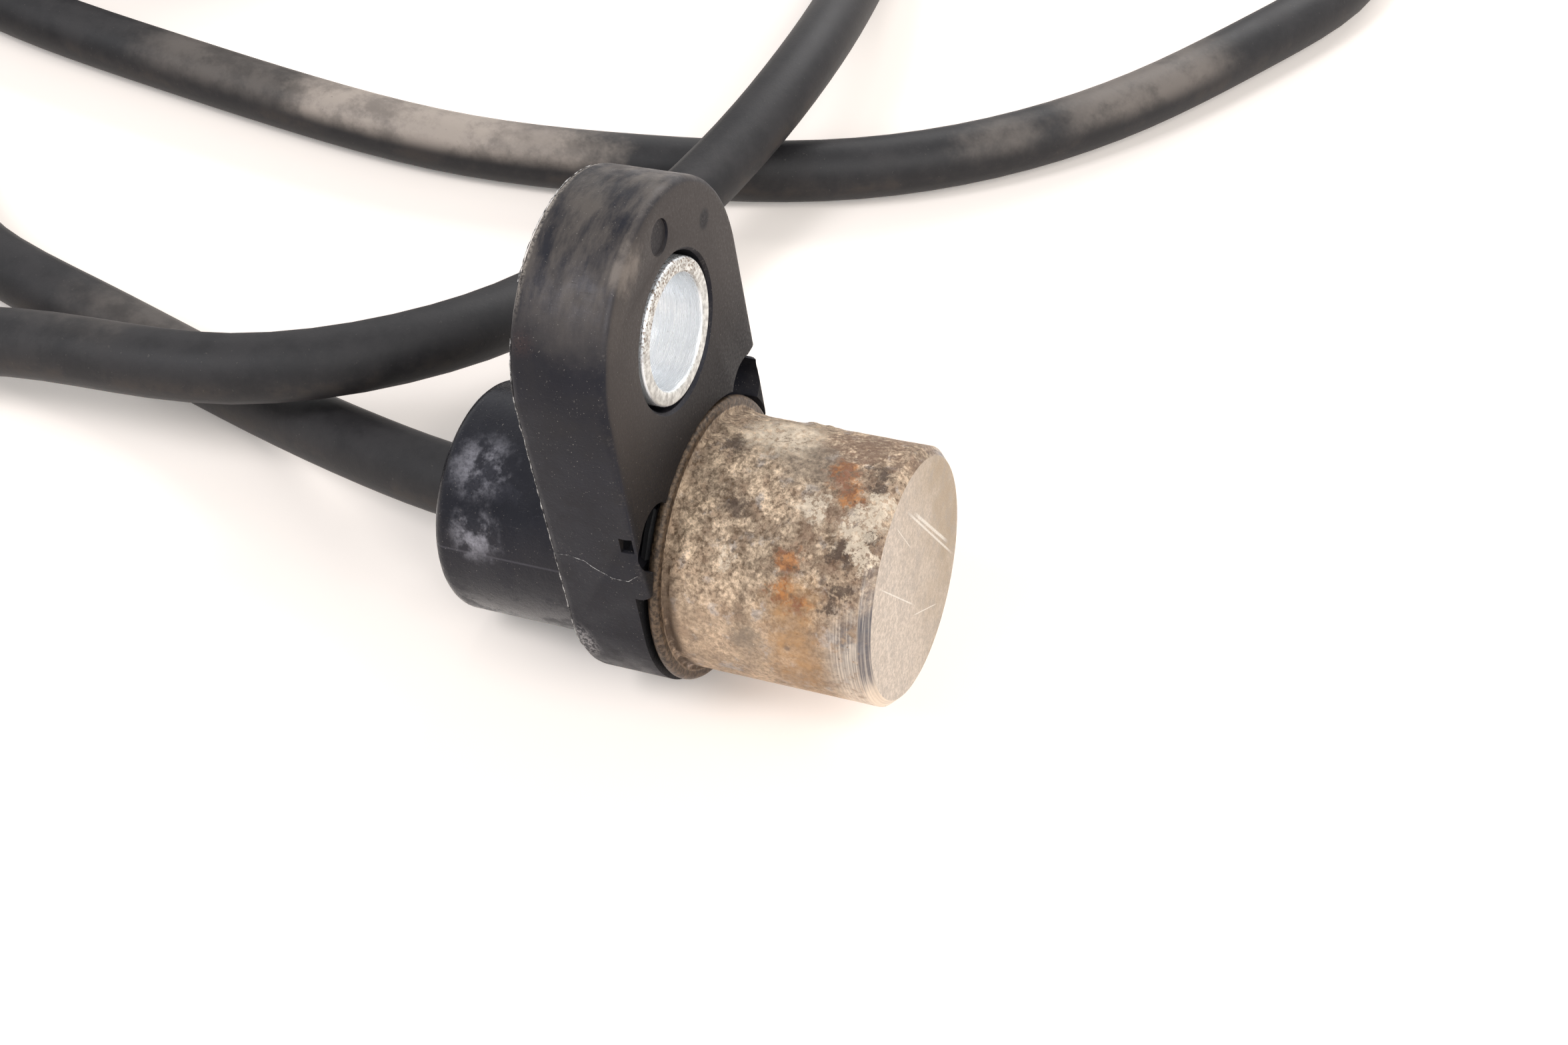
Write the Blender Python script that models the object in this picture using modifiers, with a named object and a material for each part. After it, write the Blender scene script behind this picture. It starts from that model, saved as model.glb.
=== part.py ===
"""Speed sensor for a vehicle: a moulded ear with a bolt bush, a steel nose can and a three-core lead.

Metres, +Z up. The sensor lies on the floor on its rear rim and on the foot of its ear, which lifts the nose a
little. The origin is on the floor, under the middle of the sensor without its lead.
"""

import math

import bmesh
import bpy
import numpy as np
from mathutils import Matrix, Vector

# Nose can
NOSE_RADIUS = 0.0080
NOSE_REACH = 0.0130
CAN_WALL = 0.0006
CAN_END_WALL = 0.0008
NOSE_CHAMFER = 0.0005
COLLAR_RADIUS = 0.0090
COLLAR_BACK = -0.0006
COLLAR_FRONT = 0.0001
COLLAR_ROUND = 0.00015
COLLAR_FILLET = 0.0004

# Ear and boss of the housing
EAR_THICKNESS = 0.0060
EAR_REACH = 0.0167
EAR_TOP_RADIUS = 0.0089
FOOT_PAST_COLLAR = 0.00015
EAR_EDGE = 0.0006
BOSS_RADIUS = 0.0075
BOSS_LENGTH = 0.0102
BOSS_EDGE = 0.0009
CAVITY_RADIUS = 0.0063
CAVITY_DEPTH = 0.0115
SEAT_DEPTH = 0.0009
SEAT_CLEARANCE = 0.0003
MARK_RADIUS = 0.00115
MARK_DEPTH = 0.00015
MARK_ABOVE_BUSH = 0.0067
POCKET_RADIUS = 0.0020
POCKET_DEPTH = 0.0022
POCKET_WALL = 0.0007
POCKET_PAST_SEAT = 0.0025
NOTCH_RISE = 0.0003
NOTCH_HEIGHT = 0.0012
NOTCH_DEPTH = 0.0008
NOTCH_SKIN = 0.00025

# Steel bush in the ear
BORE_RADIUS = 0.0034
BUSH_WALL = 0.00095
BUSH_PROUD = 0.00005
BUSH_GAP = 0.00035
BUSH_CHAMFER = 0.00015

# Sealing ring between the can and the housing
RING_THICKNESS = 0.0005
RING_SEAT_RADIUS = 0.0078

# Carrier, magnet and chip inside the nose
GAP = 0.0003
CARRIER_REAR = -0.0023
CARRIER_STEP = 0.0004
POCKET_FLOOR = 0.0032
MAGNET_RADIUS = 0.0030
MAGNET_LENGTH = 0.0050
FLUX_PLATE_THICKNESS = 0.0008
CHIP_THICKNESS = 0.0015
CHIP_WIDTH = 0.0042
CHIP_HEIGHT = 0.0040
LEG_WIDTH = 0.00045
LEG_THICKNESS = 0.0003
LEG_PITCH = 0.00127
LEG_LIFT = 0.0040
SLOT_WIDTH = 0.0036
SLOT_HEIGHT = 0.0052

# Round circuit board behind the carrier
BOARD_RADIUS = 0.0058
BOARD_THICKNESS = 0.0008
LEG_HOLE = 0.0005
LEG_STUB = 0.0006
PART_LIFT = 0.0003
CAPACITOR_SIZE = (0.0011, 0.0012, 0.0020)
RESISTOR_SIZE = (0.0006, 0.0012, 0.0020)
PART_ORBIT = 0.0043
PART_ANGLES = {"capacitor_1": 150, "capacitor_2": 30, "resistor": 270}
TERMINAL_RADIUS = 0.0009
TERMINAL_LENGTH = 0.0014
TERMINAL_ORBIT = 0.0019

# Lead and what holds it in the boss
LEAD_RADIUS = 0.0024
CORE_RADIUS = 0.00065
CORE_ORBIT = 0.00125
CORE_ANGLES = {"red": 90, "black": 210, "white": 330}
LEAD_START = -0.0103
FERRULE_LENGTH = 0.0020
FERRULE_WALL = 0.0007
SEAL_LENGTH = 0.0020
SEAL_WALL = 0.0015
RESIN_FRONT = -0.0062
RESIN_FACE = 0.0024
RESIN_HOLE = 0.0011

# Coil of the spare length
COIL_CENTRE = (-0.0845, 0.0750)
COIL_MIDDLE = 0.0250
TURNS_WIDE = 2
TURNS_HIGH = 2
COIL_SLACK = 0.0003
COIL_CORNER = 0.0015
TIE_ANGLE = math.radians(14)
TIE_WIDTH = 0.0036
TIE_THICKNESS = 0.0008
TIE_SLACK = 0.0001
TIE_HEAD = (0.0032, 0.0056, 0.0046)

# Connector that lies on the coil
SHELL_LENGTH = 0.0230
SHELL_WIDTH = 0.0150
SHELL_HEIGHT = 0.0090
SHELL_CORNER = 0.0012
SHELL_WALL = 0.0014
SHELL_START = 0.0065
SOCKET_DEPTH = 0.0130
REAR_POCKET = 0.0050
PIN_PITCH = 0.0040
PIN_WIDTH = 0.0015
PIN_THICKNESS = 0.0008
PIN_REACH = 0.0075
PLATE_THICKNESS = 0.0016
GROMMET_LENGTH = 0.0040
LATCH_LENGTH = 0.0050
LATCH_WIDTH = 0.0040
LATCH_HEIGHT = 0.0012
TAIL_RISE = 0.0009
TAIL_TURN = 0.0195
TAIL_STRAIGHT = 0.0060
SLEEVE_LENGTH = 0.0075
SLEEVE_WALL = 0.0006
SLEEVE_PAST_END = 0.0020

ROUND_STEPS = 48
SMALL_STEPS = 24
WELD = 0.00001
TUBE_SPACING = 0.0095

# Route of the lead from the boss to the coil, in world metres, chosen by hand
ROUTE = [
    (-0.0242, 0.0017, 0.0053),
    (-0.0376, 0.0053, 0.0028),
    (-0.0514, 0.0079, 0.0028),
    (-0.0649, 0.0117, 0.0024),
    (-0.0762, 0.0200, 0.0024),
    (-0.0890, 0.0256, 0.0024),
    (-0.1024, 0.0222, 0.0024),
    (-0.1105, 0.0110, 0.0024),
    (-0.1096, -0.0028, 0.0024),
    (-0.1001, -0.0128, 0.0024),
    (-0.0863, -0.0145, 0.0024),
    (-0.0735, -0.0089, 0.0025),
    (-0.0613, -0.0021, 0.0043),
    (-0.0479, -0.0002, 0.0076),
    (-0.0342, 0.0014, 0.0094),
    (-0.0232, 0.0096, 0.0092),
    (-0.0175, 0.0223, 0.0072),
    (-0.0139, 0.0359, 0.0075),
    (-0.0125, 0.0498, 0.0079),
    (-0.0137, 0.0637, 0.0055),
    (-0.0157, 0.0774, 0.0030),
    (-0.0167, 0.0914, 0.0024),
    (-0.0124, 0.1046, 0.0024),
    (-0.0013, 0.1128, 0.0024),
    (0.0125, 0.1120, 0.0024),
    (0.0226, 0.1026, 0.0024),
    (0.0244, 0.0889, 0.0024),
    (0.0189, 0.0759, 0.0024),
    (0.0118, 0.0638, 0.0024),
    (0.0027, 0.0530, 0.0024),
    (-0.0087, 0.0448, 0.0024),
    (-0.0217, 0.0397, 0.0024),
    (-0.0354, 0.0363, 0.0024),
    (-0.0495, 0.0356, 0.0024),
    (-0.0635, 0.0361, 0.0024),
    (-0.0776, 0.0372, 0.0024),
    (-0.0912, 0.0406, 0.0024),
    (-0.1030, 0.0482, 0.0024),
]

BLACK_PLASTIC = ("black_plastic", (0.035, 0.034, 0.036), 0.55, 0.0)
ZINC_STEEL = ("zinc_steel", (0.72, 0.72, 0.70), 0.35, 1.0)
CAN_STEEL = ("can_steel", (0.45, 0.40, 0.34), 0.60, 0.6)
LEAD_RUBBER = ("lead_rubber", (0.040, 0.039, 0.040), 0.70, 0.0)
SEAL_RUBBER = ("seal_rubber", (0.10, 0.10, 0.11), 0.75, 0.0)
BRASS = ("brass", (0.75, 0.58, 0.25), 0.30, 1.0)
MAGNET_NICKEL = ("magnet_nickel", (0.62, 0.60, 0.57), 0.30, 1.0)
BOARD_GREEN = ("board_green", (0.05, 0.22, 0.10), 0.45, 0.0)
CHIP_BLACK = ("chip_black", (0.02, 0.02, 0.02), 0.45, 0.0)
CERAMIC_TAN = ("ceramic_tan", (0.55, 0.42, 0.28), 0.50, 0.0)
RESIN_AMBER = ("resin_amber", (0.16, 0.09, 0.04), 0.35, 0.0)
LOCK_WHITE = ("lock_white", (0.80, 0.79, 0.74), 0.50, 0.0)
CORE_RED = ("core_red", (0.55, 0.03, 0.02), 0.50, 0.0)
CORE_BLACK = ("core_black", (0.03, 0.03, 0.03), 0.50, 0.0)
CORE_WHITE = ("core_white", (0.78, 0.77, 0.72), 0.50, 0.0)
CORE_COLOURS = {"red": CORE_RED, "black": CORE_BLACK, "white": CORE_WHITE}

EAR_FOOT_RADIUS = COLLAR_RADIUS + FOOT_PAST_COLLAR
CAN_INSIDE = NOSE_RADIUS - CAN_WALL
CAN_FLOOR = NOSE_REACH - CAN_END_WALL
BOSS_END = -EAR_THICKNESS - BOSS_LENGTH
CARRIER_FRONT = CAN_FLOOR - GAP
CARRIER_RADIUS = CAN_INSIDE - GAP
SPINDLE_RADIUS = CAVITY_RADIUS - GAP
BUSH_RADIUS = BORE_RADIUS + BUSH_WALL
BUSH_HOLE = BUSH_RADIUS + BUSH_GAP
BOARD_FRONT = CARRIER_REAR - GAP
BOARD_BACK = BOARD_FRONT - BOARD_THICKNESS
LEAD_HOLE = LEAD_RADIUS + GAP
COIL_HALF_WIDTH = TURNS_WIDE * LEAD_RADIUS
COIL_TOP = TURNS_HIGH * 2 * LEAD_RADIUS + COIL_SLACK
TAIL_START_Z = COIL_TOP + GAP + LEAD_RADIUS
TAIL_END_Z = TAIL_START_Z + TAIL_RISE
SHELL_BOTTOM = COIL_TOP + GAP
SHELL_MIDDLE = SHELL_BOTTOM + SHELL_HEIGHT / 2


def rest_pitch():
    """The nose's lift when the rounded rims of the ear's foot and of the boss both touch the floor."""
    low, high = 0.0, math.radians(45)
    for _ in range(50):
        middle = (low + high) / 2
        if rim_depth(EAR_THICKNESS, EAR_FOOT_RADIUS, EAR_EDGE, middle) > rim_depth(
            -BOSS_END, BOSS_RADIUS, BOSS_EDGE, middle
        ):
            low = middle
        else:
            high = middle
    return low


def rim_depth(back, radius, edge, pitch):
    """How far below the nose's axis a rounded rim reaches, when the nose is lifted by the pitch."""
    return (radius - edge) * math.cos(pitch) + (back - edge) * math.sin(pitch) + edge


PITCH = rest_pitch()
AXIS_HEIGHT = rim_depth(EAR_THICKNESS, EAR_FOOT_RADIUS, EAR_EDGE, PITCH)
FRONT_OF_BOX = NOSE_REACH * math.cos(PITCH) + (NOSE_RADIUS - NOSE_CHAMFER) * math.sin(PITCH)
BACK_OF_BOX = (BOSS_END + BOSS_EDGE) * math.cos(PITCH) - (BOSS_RADIUS - BOSS_EDGE) * math.sin(PITCH) - BOSS_EDGE
AXIS_SHIFT = -(FRONT_OF_BOX + BACK_OF_BOX) / 2
AXIS_TO_WORLD = Matrix.Translation((AXIS_SHIFT, 0, AXIS_HEIGHT)) @ Matrix.Rotation(-PITCH, 4, "Y")
ALONG_NOSE = Matrix.Rotation(math.radians(90), 4, "Y")
ACROSS_NOSE = Matrix(((0, 0, 1, 0), (1, 0, 0, 0), (0, 1, 0, 0), (0, 0, 0, 1)))


def clear_scene():
    for obj in list(bpy.data.objects):
        bpy.data.objects.remove(obj)


def new_collection(name):
    collection = bpy.data.collections.new(name)
    bpy.context.scene.collection.children.link(collection)
    return collection


def material(spec):
    name, colour, roughness, metallic = spec
    found = bpy.data.materials.get(name)
    if found:
        return found
    made = bpy.data.materials.new(name)
    made.use_nodes = True
    made.diffuse_color = (*colour, 1)
    shader = made.node_tree.nodes["Principled BSDF"]
    shader.inputs["Base Color"].default_value = (*colour, 1)
    shader.inputs["Roughness"].default_value = roughness
    shader.inputs["Metallic"].default_value = metallic
    return made


def add(name, data, spec=None, place=None):
    """A new object: a part with its material, or a cutter when no material is given."""
    obj = bpy.data.objects.new(name, data)
    if spec:
        parts.objects.link(obj)
        data.materials.append(material(spec))
    else:
        cutters.objects.link(obj)
        obj.hide_render = True
        obj.display_type = "WIRE"
    if place:
        obj.matrix_world = place
    return obj


def smooth(obj):
    obj.data.shade_smooth()
    obj.data.set_sharp_from_angle(angle=math.radians(30))


def turned(name, profile, spec=None, steps=ROUND_STEPS, place=ALONG_NOSE):
    """Turns (radius, distance along the axis) points, outer side first from the far end back, about the axis."""
    closed = profile[0][0] > 0 and profile[-1][0] > 0
    points = [(radius, 0, along) for radius, along in profile]
    edges = [(i, i + 1) for i in range(len(points) - 1)]
    if closed:
        edges.append((len(points) - 1, 0))
    mesh = bpy.data.meshes.new(name)
    mesh.from_pydata(points, edges, [])
    obj = add(name, mesh, spec, place)
    screw = obj.modifiers.new("turn", "SCREW")
    screw.steps = steps
    screw.render_steps = steps
    screw.use_merge_vertices = True
    screw.merge_threshold = WELD
    return obj


def rod(name, radius, low, high, spec=None, steps=SMALL_STEPS, place=ALONG_NOSE):
    return turned(name, [(0, high), (radius, high), (radius, low), (0, low)], spec, steps, place)


def ring(name, inner, outer, low, high, spec=None, steps=ROUND_STEPS, place=ALONG_NOSE):
    return turned(name, [(outer, high), (outer, low), (inner, low), (inner, high)], spec, steps, place)


def box(name, low, high, spec=None, place=None):
    """A box between two corners, from Blender's cube."""
    bpy.ops.mesh.primitive_cube_add(size=1)
    made = bpy.context.active_object
    mesh = made.data
    mesh.name = name
    bpy.data.objects.remove(made)
    size = [b - a for a, b in zip(low, high)]
    middle = [(a + b) / 2 for a, b in zip(low, high)]
    mesh.transform(Matrix.Translation(middle) @ Matrix.Diagonal((*size, 1)))
    return add(name, mesh, spec, place)


def centred_box(name, middle, size, spec=None, place=None):
    low = [m - s / 2 for m, s in zip(middle, size)]
    high = [m + s / 2 for m, s in zip(middle, size)]
    return box(name, low, high, spec, place)


def combine(obj, other, operation):
    modifier = obj.modifiers.new(other.name, "BOOLEAN")
    modifier.operation = operation
    modifier.solver = "EXACT"
    modifier.object = other


def cut(obj, *tools):
    for tool in tools:
        combine(obj, tool, "DIFFERENCE")


def join(obj, *tools):
    for tool in tools:
        combine(obj, tool, "UNION")


def as_mesh(curve_obj, spec=None):
    """The curve's object made into a mesh object with its caps welded."""
    bpy.context.view_layer.update()
    name = curve_obj.name
    graph = bpy.context.evaluated_depsgraph_get()
    mesh = bpy.data.meshes.new_from_object(curve_obj.evaluated_get(graph))
    place = curve_obj.matrix_world.copy()
    data = curve_obj.data
    bpy.data.objects.remove(curve_obj)
    bpy.data.curves.remove(data)
    weld(mesh)
    mesh.materials.clear()
    obj = add(name, mesh, spec, place)
    obj.name = name
    return obj


def weld(mesh):
    shape = bmesh.new()
    shape.from_mesh(mesh)
    bmesh.ops.remove_doubles(shape, verts=shape.verts, dist=WELD)
    bmesh.ops.recalc_face_normals(shape, faces=shape.faces)
    shape.to_mesh(mesh)
    shape.free()


def plate(name, outlines, thickness, spec=None, place=None):
    """A flat plate between plus and minus half its thickness, from closed outlines; a second one is a hole."""
    curve = bpy.data.curves.new(name, "CURVE")
    curve.dimensions = "2D"
    curve.fill_mode = "BOTH"
    curve.extrude = thickness / 2
    for outline in outlines:
        spline = curve.splines.new("POLY")
        spline.points.add(len(outline) - 1)
        for point, (x, y) in zip(spline.points, outline):
            point.co = (x, y, 0, 1)
        spline.use_cyclic_u = True
    return as_mesh(add(name, curve, place=place), spec)


def tube(name, points, radius, spec=None):
    """A round solid along a line of points, with flat ends."""
    curve = bpy.data.curves.new(name, "CURVE")
    curve.dimensions = "3D"
    curve.bevel_depth = radius
    curve.bevel_resolution = 2
    curve.use_fill_caps = True
    spline = curve.splines.new("POLY")
    spline.points.add(len(points) - 1)
    for point, place in zip(spline.points, points):
        point.co = (*place, 1)
    return add(name, curve, spec)


def arc(centre, radius, start, end, count):
    step = (end - start) / (count - 1)
    return [
        (centre[0] + radius * math.cos(start + i * step), centre[1] + radius * math.sin(start + i * step))
        for i in range(count)
    ]


def rounded_rectangle(width, height, corner, count=5, centre=(0, 0)):
    """Points of a rectangle with round corners, anticlockwise."""
    points = []
    for quarter in range(4):
        start = quarter * math.pi / 2
        sign_x = 1 if quarter in (0, 3) else -1
        sign_y = 1 if quarter in (0, 1) else -1
        middle = (
            centre[0] + sign_x * (width / 2 - corner),
            centre[1] + sign_y * (height / 2 - corner),
        )
        points += arc(middle, corner, start, start + math.pi / 2, count)
    return points


def smooth_route(points, spacing, lowest):
    """Points about one spacing apart on the smooth curve through the given points, none lower than given."""
    points = np.array(points)
    runs = np.linalg.norm(np.diff(points, axis=0), axis=1)
    last = len(points) - 1
    system = np.eye(last + 1)
    sides = np.zeros((last + 1, 3))
    for i in range(1, last):
        system[i, i - 1 : i + 2] = runs[i - 1], 2 * (runs[i - 1] + runs[i]), runs[i]
        sides[i] = 6 * ((points[i + 1] - points[i]) / runs[i] - (points[i] - points[i - 1]) / runs[i - 1])
    bends = np.linalg.solve(system, sides)
    dense = [points[0]]
    for i, run in enumerate(runs):
        for s in np.linspace(0, 1, 21)[1:]:
            r = 1 - s
            straight = r * points[i] + s * points[i + 1]
            dense.append(straight + run**2 / 6 * ((r**3 - r) * bends[i] + (s**3 - s) * bends[i + 1]))
    dense = np.array(dense)
    dense[:, 2] = np.maximum(dense[:, 2], lowest)
    lengths = np.append(0, np.cumsum(np.linalg.norm(np.diff(dense, axis=0), axis=1)))
    wanted = np.linspace(0, lengths[-1], round(lengths[-1] / spacing) + 1)
    return np.stack([np.interp(wanted, lengths, dense[:, k]) for k in range(3)], axis=1)


def polar(angle_degrees, radius):
    angle = math.radians(angle_degrees)
    return radius * math.cos(angle), radius * math.sin(angle)


def on_axis(point):
    """A point of the sensor's own frame, in the world."""
    return AXIS_TO_WORLD @ Vector(point)


def ear_outline():
    """The ear seen along the nose: a foot round the nose's axis, a head round the bush, and their tangents."""
    lean = math.asin((EAR_FOOT_RADIUS - EAR_TOP_RADIUS) / EAR_REACH)
    head = arc((0, EAR_REACH), EAR_TOP_RADIUS, lean, math.pi - lean, 25)
    foot = arc((0, 0), EAR_FOOT_RADIUS, math.pi - lean, 2 * math.pi + lean, 27)
    return head + foot


def make_housing():
    ear = plate("housing", [ear_outline()], EAR_THICKNESS, BLACK_PLASTIC, ACROSS_NOSE)
    ear.data.transform(Matrix.Translation((0, 0, -EAR_THICKNESS / 2)))
    rounding = ear.modifiers.new("edge", "BEVEL")
    rounding.width = EAR_EDGE
    rounding.segments = 2
    rounding.limit_method = "ANGLE"
    rounding.angle_limit = math.radians(60)

    rim = [
        (BOSS_RADIUS - BOSS_EDGE + BOSS_EDGE * math.cos(a), BOSS_END + BOSS_EDGE - BOSS_EDGE * math.sin(a))
        for a in (math.radians(30 * i) for i in range(4))
    ]
    start = -EAR_THICKNESS / 2
    boss = turned("boss_shape", [(0, start), (BOSS_RADIUS, start), *rim, (0, BOSS_END)])
    join(ear, boss)

    past = EAR_EDGE
    above = Matrix.Translation((0, 0, EAR_REACH)) @ ALONG_NOSE
    mark = Matrix.Translation((0, 0, EAR_REACH + MARK_ABOVE_BUSH)) @ ALONG_NOSE
    cut(
        ear,
        rod("bush_hole", BUSH_HOLE, -EAR_THICKNESS - past, past, steps=ROUND_STEPS, place=above),
        rod("ejector_mark", MARK_RADIUS, -MARK_DEPTH, past, place=mark),
    )
    seat = COLLAR_RADIUS + SEAT_CLEARANCE
    seal_seat = LEAD_RADIUS + SEAL_WALL + 2 * GAP
    seal_seat_end = -CAVITY_DEPTH - SEAL_LENGTH - GAP
    groove_inside = RING_SEAT_RADIUS - RING_THICKNESS - GAP
    groove_outside = RING_SEAT_RADIUS + RING_THICKNESS + GAP
    groove_floor = -SEAT_DEPTH - 2 * RING_THICKNESS
    hollow = [
        (0, past),
        (seat, past),
        (seat, -SEAT_DEPTH),
        (groove_outside, -SEAT_DEPTH),
        (groove_outside, groove_floor),
        (groove_inside, groove_floor),
        (groove_inside, -SEAT_DEPTH),
        (CAVITY_RADIUS, -SEAT_DEPTH),
        (CAVITY_RADIUS, -CAVITY_DEPTH),
        (seal_seat, -CAVITY_DEPTH),
        (seal_seat, seal_seat_end),
        (LEAD_HOLE, seal_seat_end),
        (LEAD_HOLE, BOSS_END - past),
        (0, BOSS_END - past),
    ]
    cut(ear, turned("hollow", hollow))
    pocket_y = min(EAR_FOOT_RADIUS, EAR_TOP_RADIUS) - POCKET_WALL - POCKET_RADIUS
    seat_top = math.sqrt(seat**2 - pocket_y**2)
    pocket_z = seat_top + POCKET_PAST_SEAT - POCKET_RADIUS
    notch_low = pocket_z + NOTCH_RISE
    for side, name, front in ((1, "right", past), (-1, "left", -NOTCH_SKIN)):
        back = -NOTCH_SKIN - NOTCH_DEPTH
        pocket = Matrix.Translation((0, side * pocket_y, pocket_z)) @ ALONG_NOSE
        cut(
            ear,
            rod(f"side_pocket_{name}", POCKET_RADIUS, -POCKET_DEPTH, past, place=pocket),
            centred_box(
                f"side_notch_{name}",
                ((front + back) / 2, side * (pocket_y + EAR_TOP_RADIUS) / 2, notch_low + NOTCH_HEIGHT / 2),
                (front - back, 2 * EAR_EDGE + EAR_TOP_RADIUS - pocket_y, NOTCH_HEIGHT),
            ),
        )
    return ear


def make_bush():
    front = BUSH_PROUD
    back = -EAR_THICKNESS - BUSH_PROUD
    mouth = BORE_RADIUS + BUSH_CHAMFER
    profile = [
        (BUSH_RADIUS - BUSH_CHAMFER, front),
        (BUSH_RADIUS, front - BUSH_CHAMFER),
        (BUSH_RADIUS, back + BUSH_CHAMFER),
        (BUSH_RADIUS - BUSH_CHAMFER, back),
        (mouth, back),
        (BORE_RADIUS, back + BUSH_CHAMFER),
        (BORE_RADIUS, front - BUSH_CHAMFER),
        (mouth, front),
    ]
    return turned(
        "mounting_bush", profile, ZINC_STEEL, place=Matrix.Translation((0, 0, EAR_REACH)) @ ALONG_NOSE
    )


def make_can():
    profile = [
        (0, NOSE_REACH),
        (NOSE_RADIUS - NOSE_CHAMFER, NOSE_REACH),
        (NOSE_RADIUS, NOSE_REACH - NOSE_CHAMFER),
        (NOSE_RADIUS, COLLAR_FRONT + COLLAR_FILLET),
        (NOSE_RADIUS + COLLAR_FILLET, COLLAR_FRONT),
        (COLLAR_RADIUS - COLLAR_ROUND, COLLAR_FRONT),
        (COLLAR_RADIUS, COLLAR_FRONT - COLLAR_ROUND),
        (COLLAR_RADIUS, COLLAR_BACK + COLLAR_ROUND),
        (COLLAR_RADIUS - COLLAR_ROUND, COLLAR_BACK),
        (CAN_INSIDE, COLLAR_BACK),
        (CAN_INSIDE, CAN_FLOOR),
        (0, CAN_FLOOR),
    ]
    return turned("nose_can", profile, CAN_STEEL)


def make_ring():
    """The sealing ring lies in its groove, just behind the can's collar."""
    middle = -SEAT_DEPTH - RING_THICKNESS + GAP
    profile = [
        (RING_SEAT_RADIUS + RING_THICKNESS * math.cos(a), middle + RING_THICKNESS * math.sin(a))
        for a in (math.radians(90 - 45 * i) for i in range(8))
    ]
    return turned("can_seal", profile, SEAL_RUBBER, steps=32)


def make_carrier():
    carrier = turned(
        "sensor_carrier",
        [
            (0, CARRIER_FRONT),
            (CARRIER_RADIUS, CARRIER_FRONT),
            (CARRIER_RADIUS, CARRIER_STEP),
            (SPINDLE_RADIUS, CARRIER_STEP),
            (SPINDLE_RADIUS, CARRIER_REAR),
            (0, CARRIER_REAR),
        ],
        BLACK_PLASTIC,
        steps=32,
    )
    past = CAN_END_WALL
    cut(
        carrier,
        rod("magnet_bore", MAGNET_RADIUS + GAP, POCKET_FLOOR, CARRIER_FRONT + past),
        box(
            "leg_slot",
            (CARRIER_REAR - past, -SLOT_WIDTH / 2, LEG_LIFT - 4 * LEG_THICKNESS),
            (CARRIER_FRONT + past, SLOT_WIDTH / 2, SLOT_HEIGHT),
        ),
    )
    return carrier


def make_magnet_and_chip():
    back = POCKET_FLOOR + GAP
    rod("bias_magnet", MAGNET_RADIUS, back, back + MAGNET_LENGTH, MAGNET_NICKEL)
    plate_back = back + MAGNET_LENGTH + GAP
    rod("flux_plate", MAGNET_RADIUS, plate_back, plate_back + FLUX_PLATE_THICKNESS, ZINC_STEEL)
    chip_back = plate_back + FLUX_PLATE_THICKNESS + GAP
    chip = box(
        "hall_chip",
        (chip_back, -CHIP_WIDTH / 2, -CHIP_HEIGHT / 2),
        (chip_back + CHIP_THICKNESS, CHIP_WIDTH / 2, CHIP_HEIGHT / 2),
        CHIP_BLACK,
    )
    leg_x = chip_back + CHIP_THICKNESS / 2
    for i in (-1, 0, 1):
        y = i * LEG_PITCH
        riser = box(
            f"leg_riser_{i + 2}",
            (leg_x - LEG_THICKNESS / 2, y - LEG_WIDTH / 2, CHIP_HEIGHT / 2 - LEG_THICKNESS),
            (leg_x + LEG_THICKNESS / 2, y + LEG_WIDTH / 2, LEG_LIFT + LEG_THICKNESS / 2),
        )
        run = box(
            f"leg_run_{i + 2}",
            (BOARD_BACK - LEG_STUB, y - LEG_WIDTH / 2, LEG_LIFT - LEG_THICKNESS / 2),
            (leg_x + LEG_THICKNESS / 2, y + LEG_WIDTH / 2, LEG_LIFT + LEG_THICKNESS / 2),
        )
        join(chip, riser, run)
    return chip


def make_board():
    board = rod("circuit_board", BOARD_RADIUS, BOARD_BACK, BOARD_FRONT, BOARD_GREEN, steps=32)
    past = BOARD_THICKNESS
    for i in (-1, 0, 1):
        hole = Matrix.Translation((0, i * LEG_PITCH, LEG_LIFT)) @ ALONG_NOSE
        cut(board, rod(f"leg_hole_{i + 2}", LEG_HOLE, BOARD_BACK - past, BOARD_FRONT + past, steps=12, place=hole))
    sizes = {"capacitor": (CAPACITOR_SIZE, CERAMIC_TAN), "resistor": (RESISTOR_SIZE, CHIP_BLACK)}
    for name, angle in PART_ANGLES.items():
        size, colour = sizes[name.split("_")[0]]
        y, z = polar(angle, PART_ORBIT)
        centred_box(name, (BOARD_BACK - PART_LIFT - size[0] / 2, y, z), size, colour)
    back = BOARD_BACK - GAP - TERMINAL_LENGTH
    for name, angle in CORE_ANGLES.items():
        y, z = polar(angle, TERMINAL_ORBIT)
        place = Matrix.Translation((0, y, z)) @ ALONG_NOSE
        rod(f"terminal_{name}", TERMINAL_RADIUS, back, back + TERMINAL_LENGTH, BRASS, steps=16, place=place)
    return back


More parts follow.
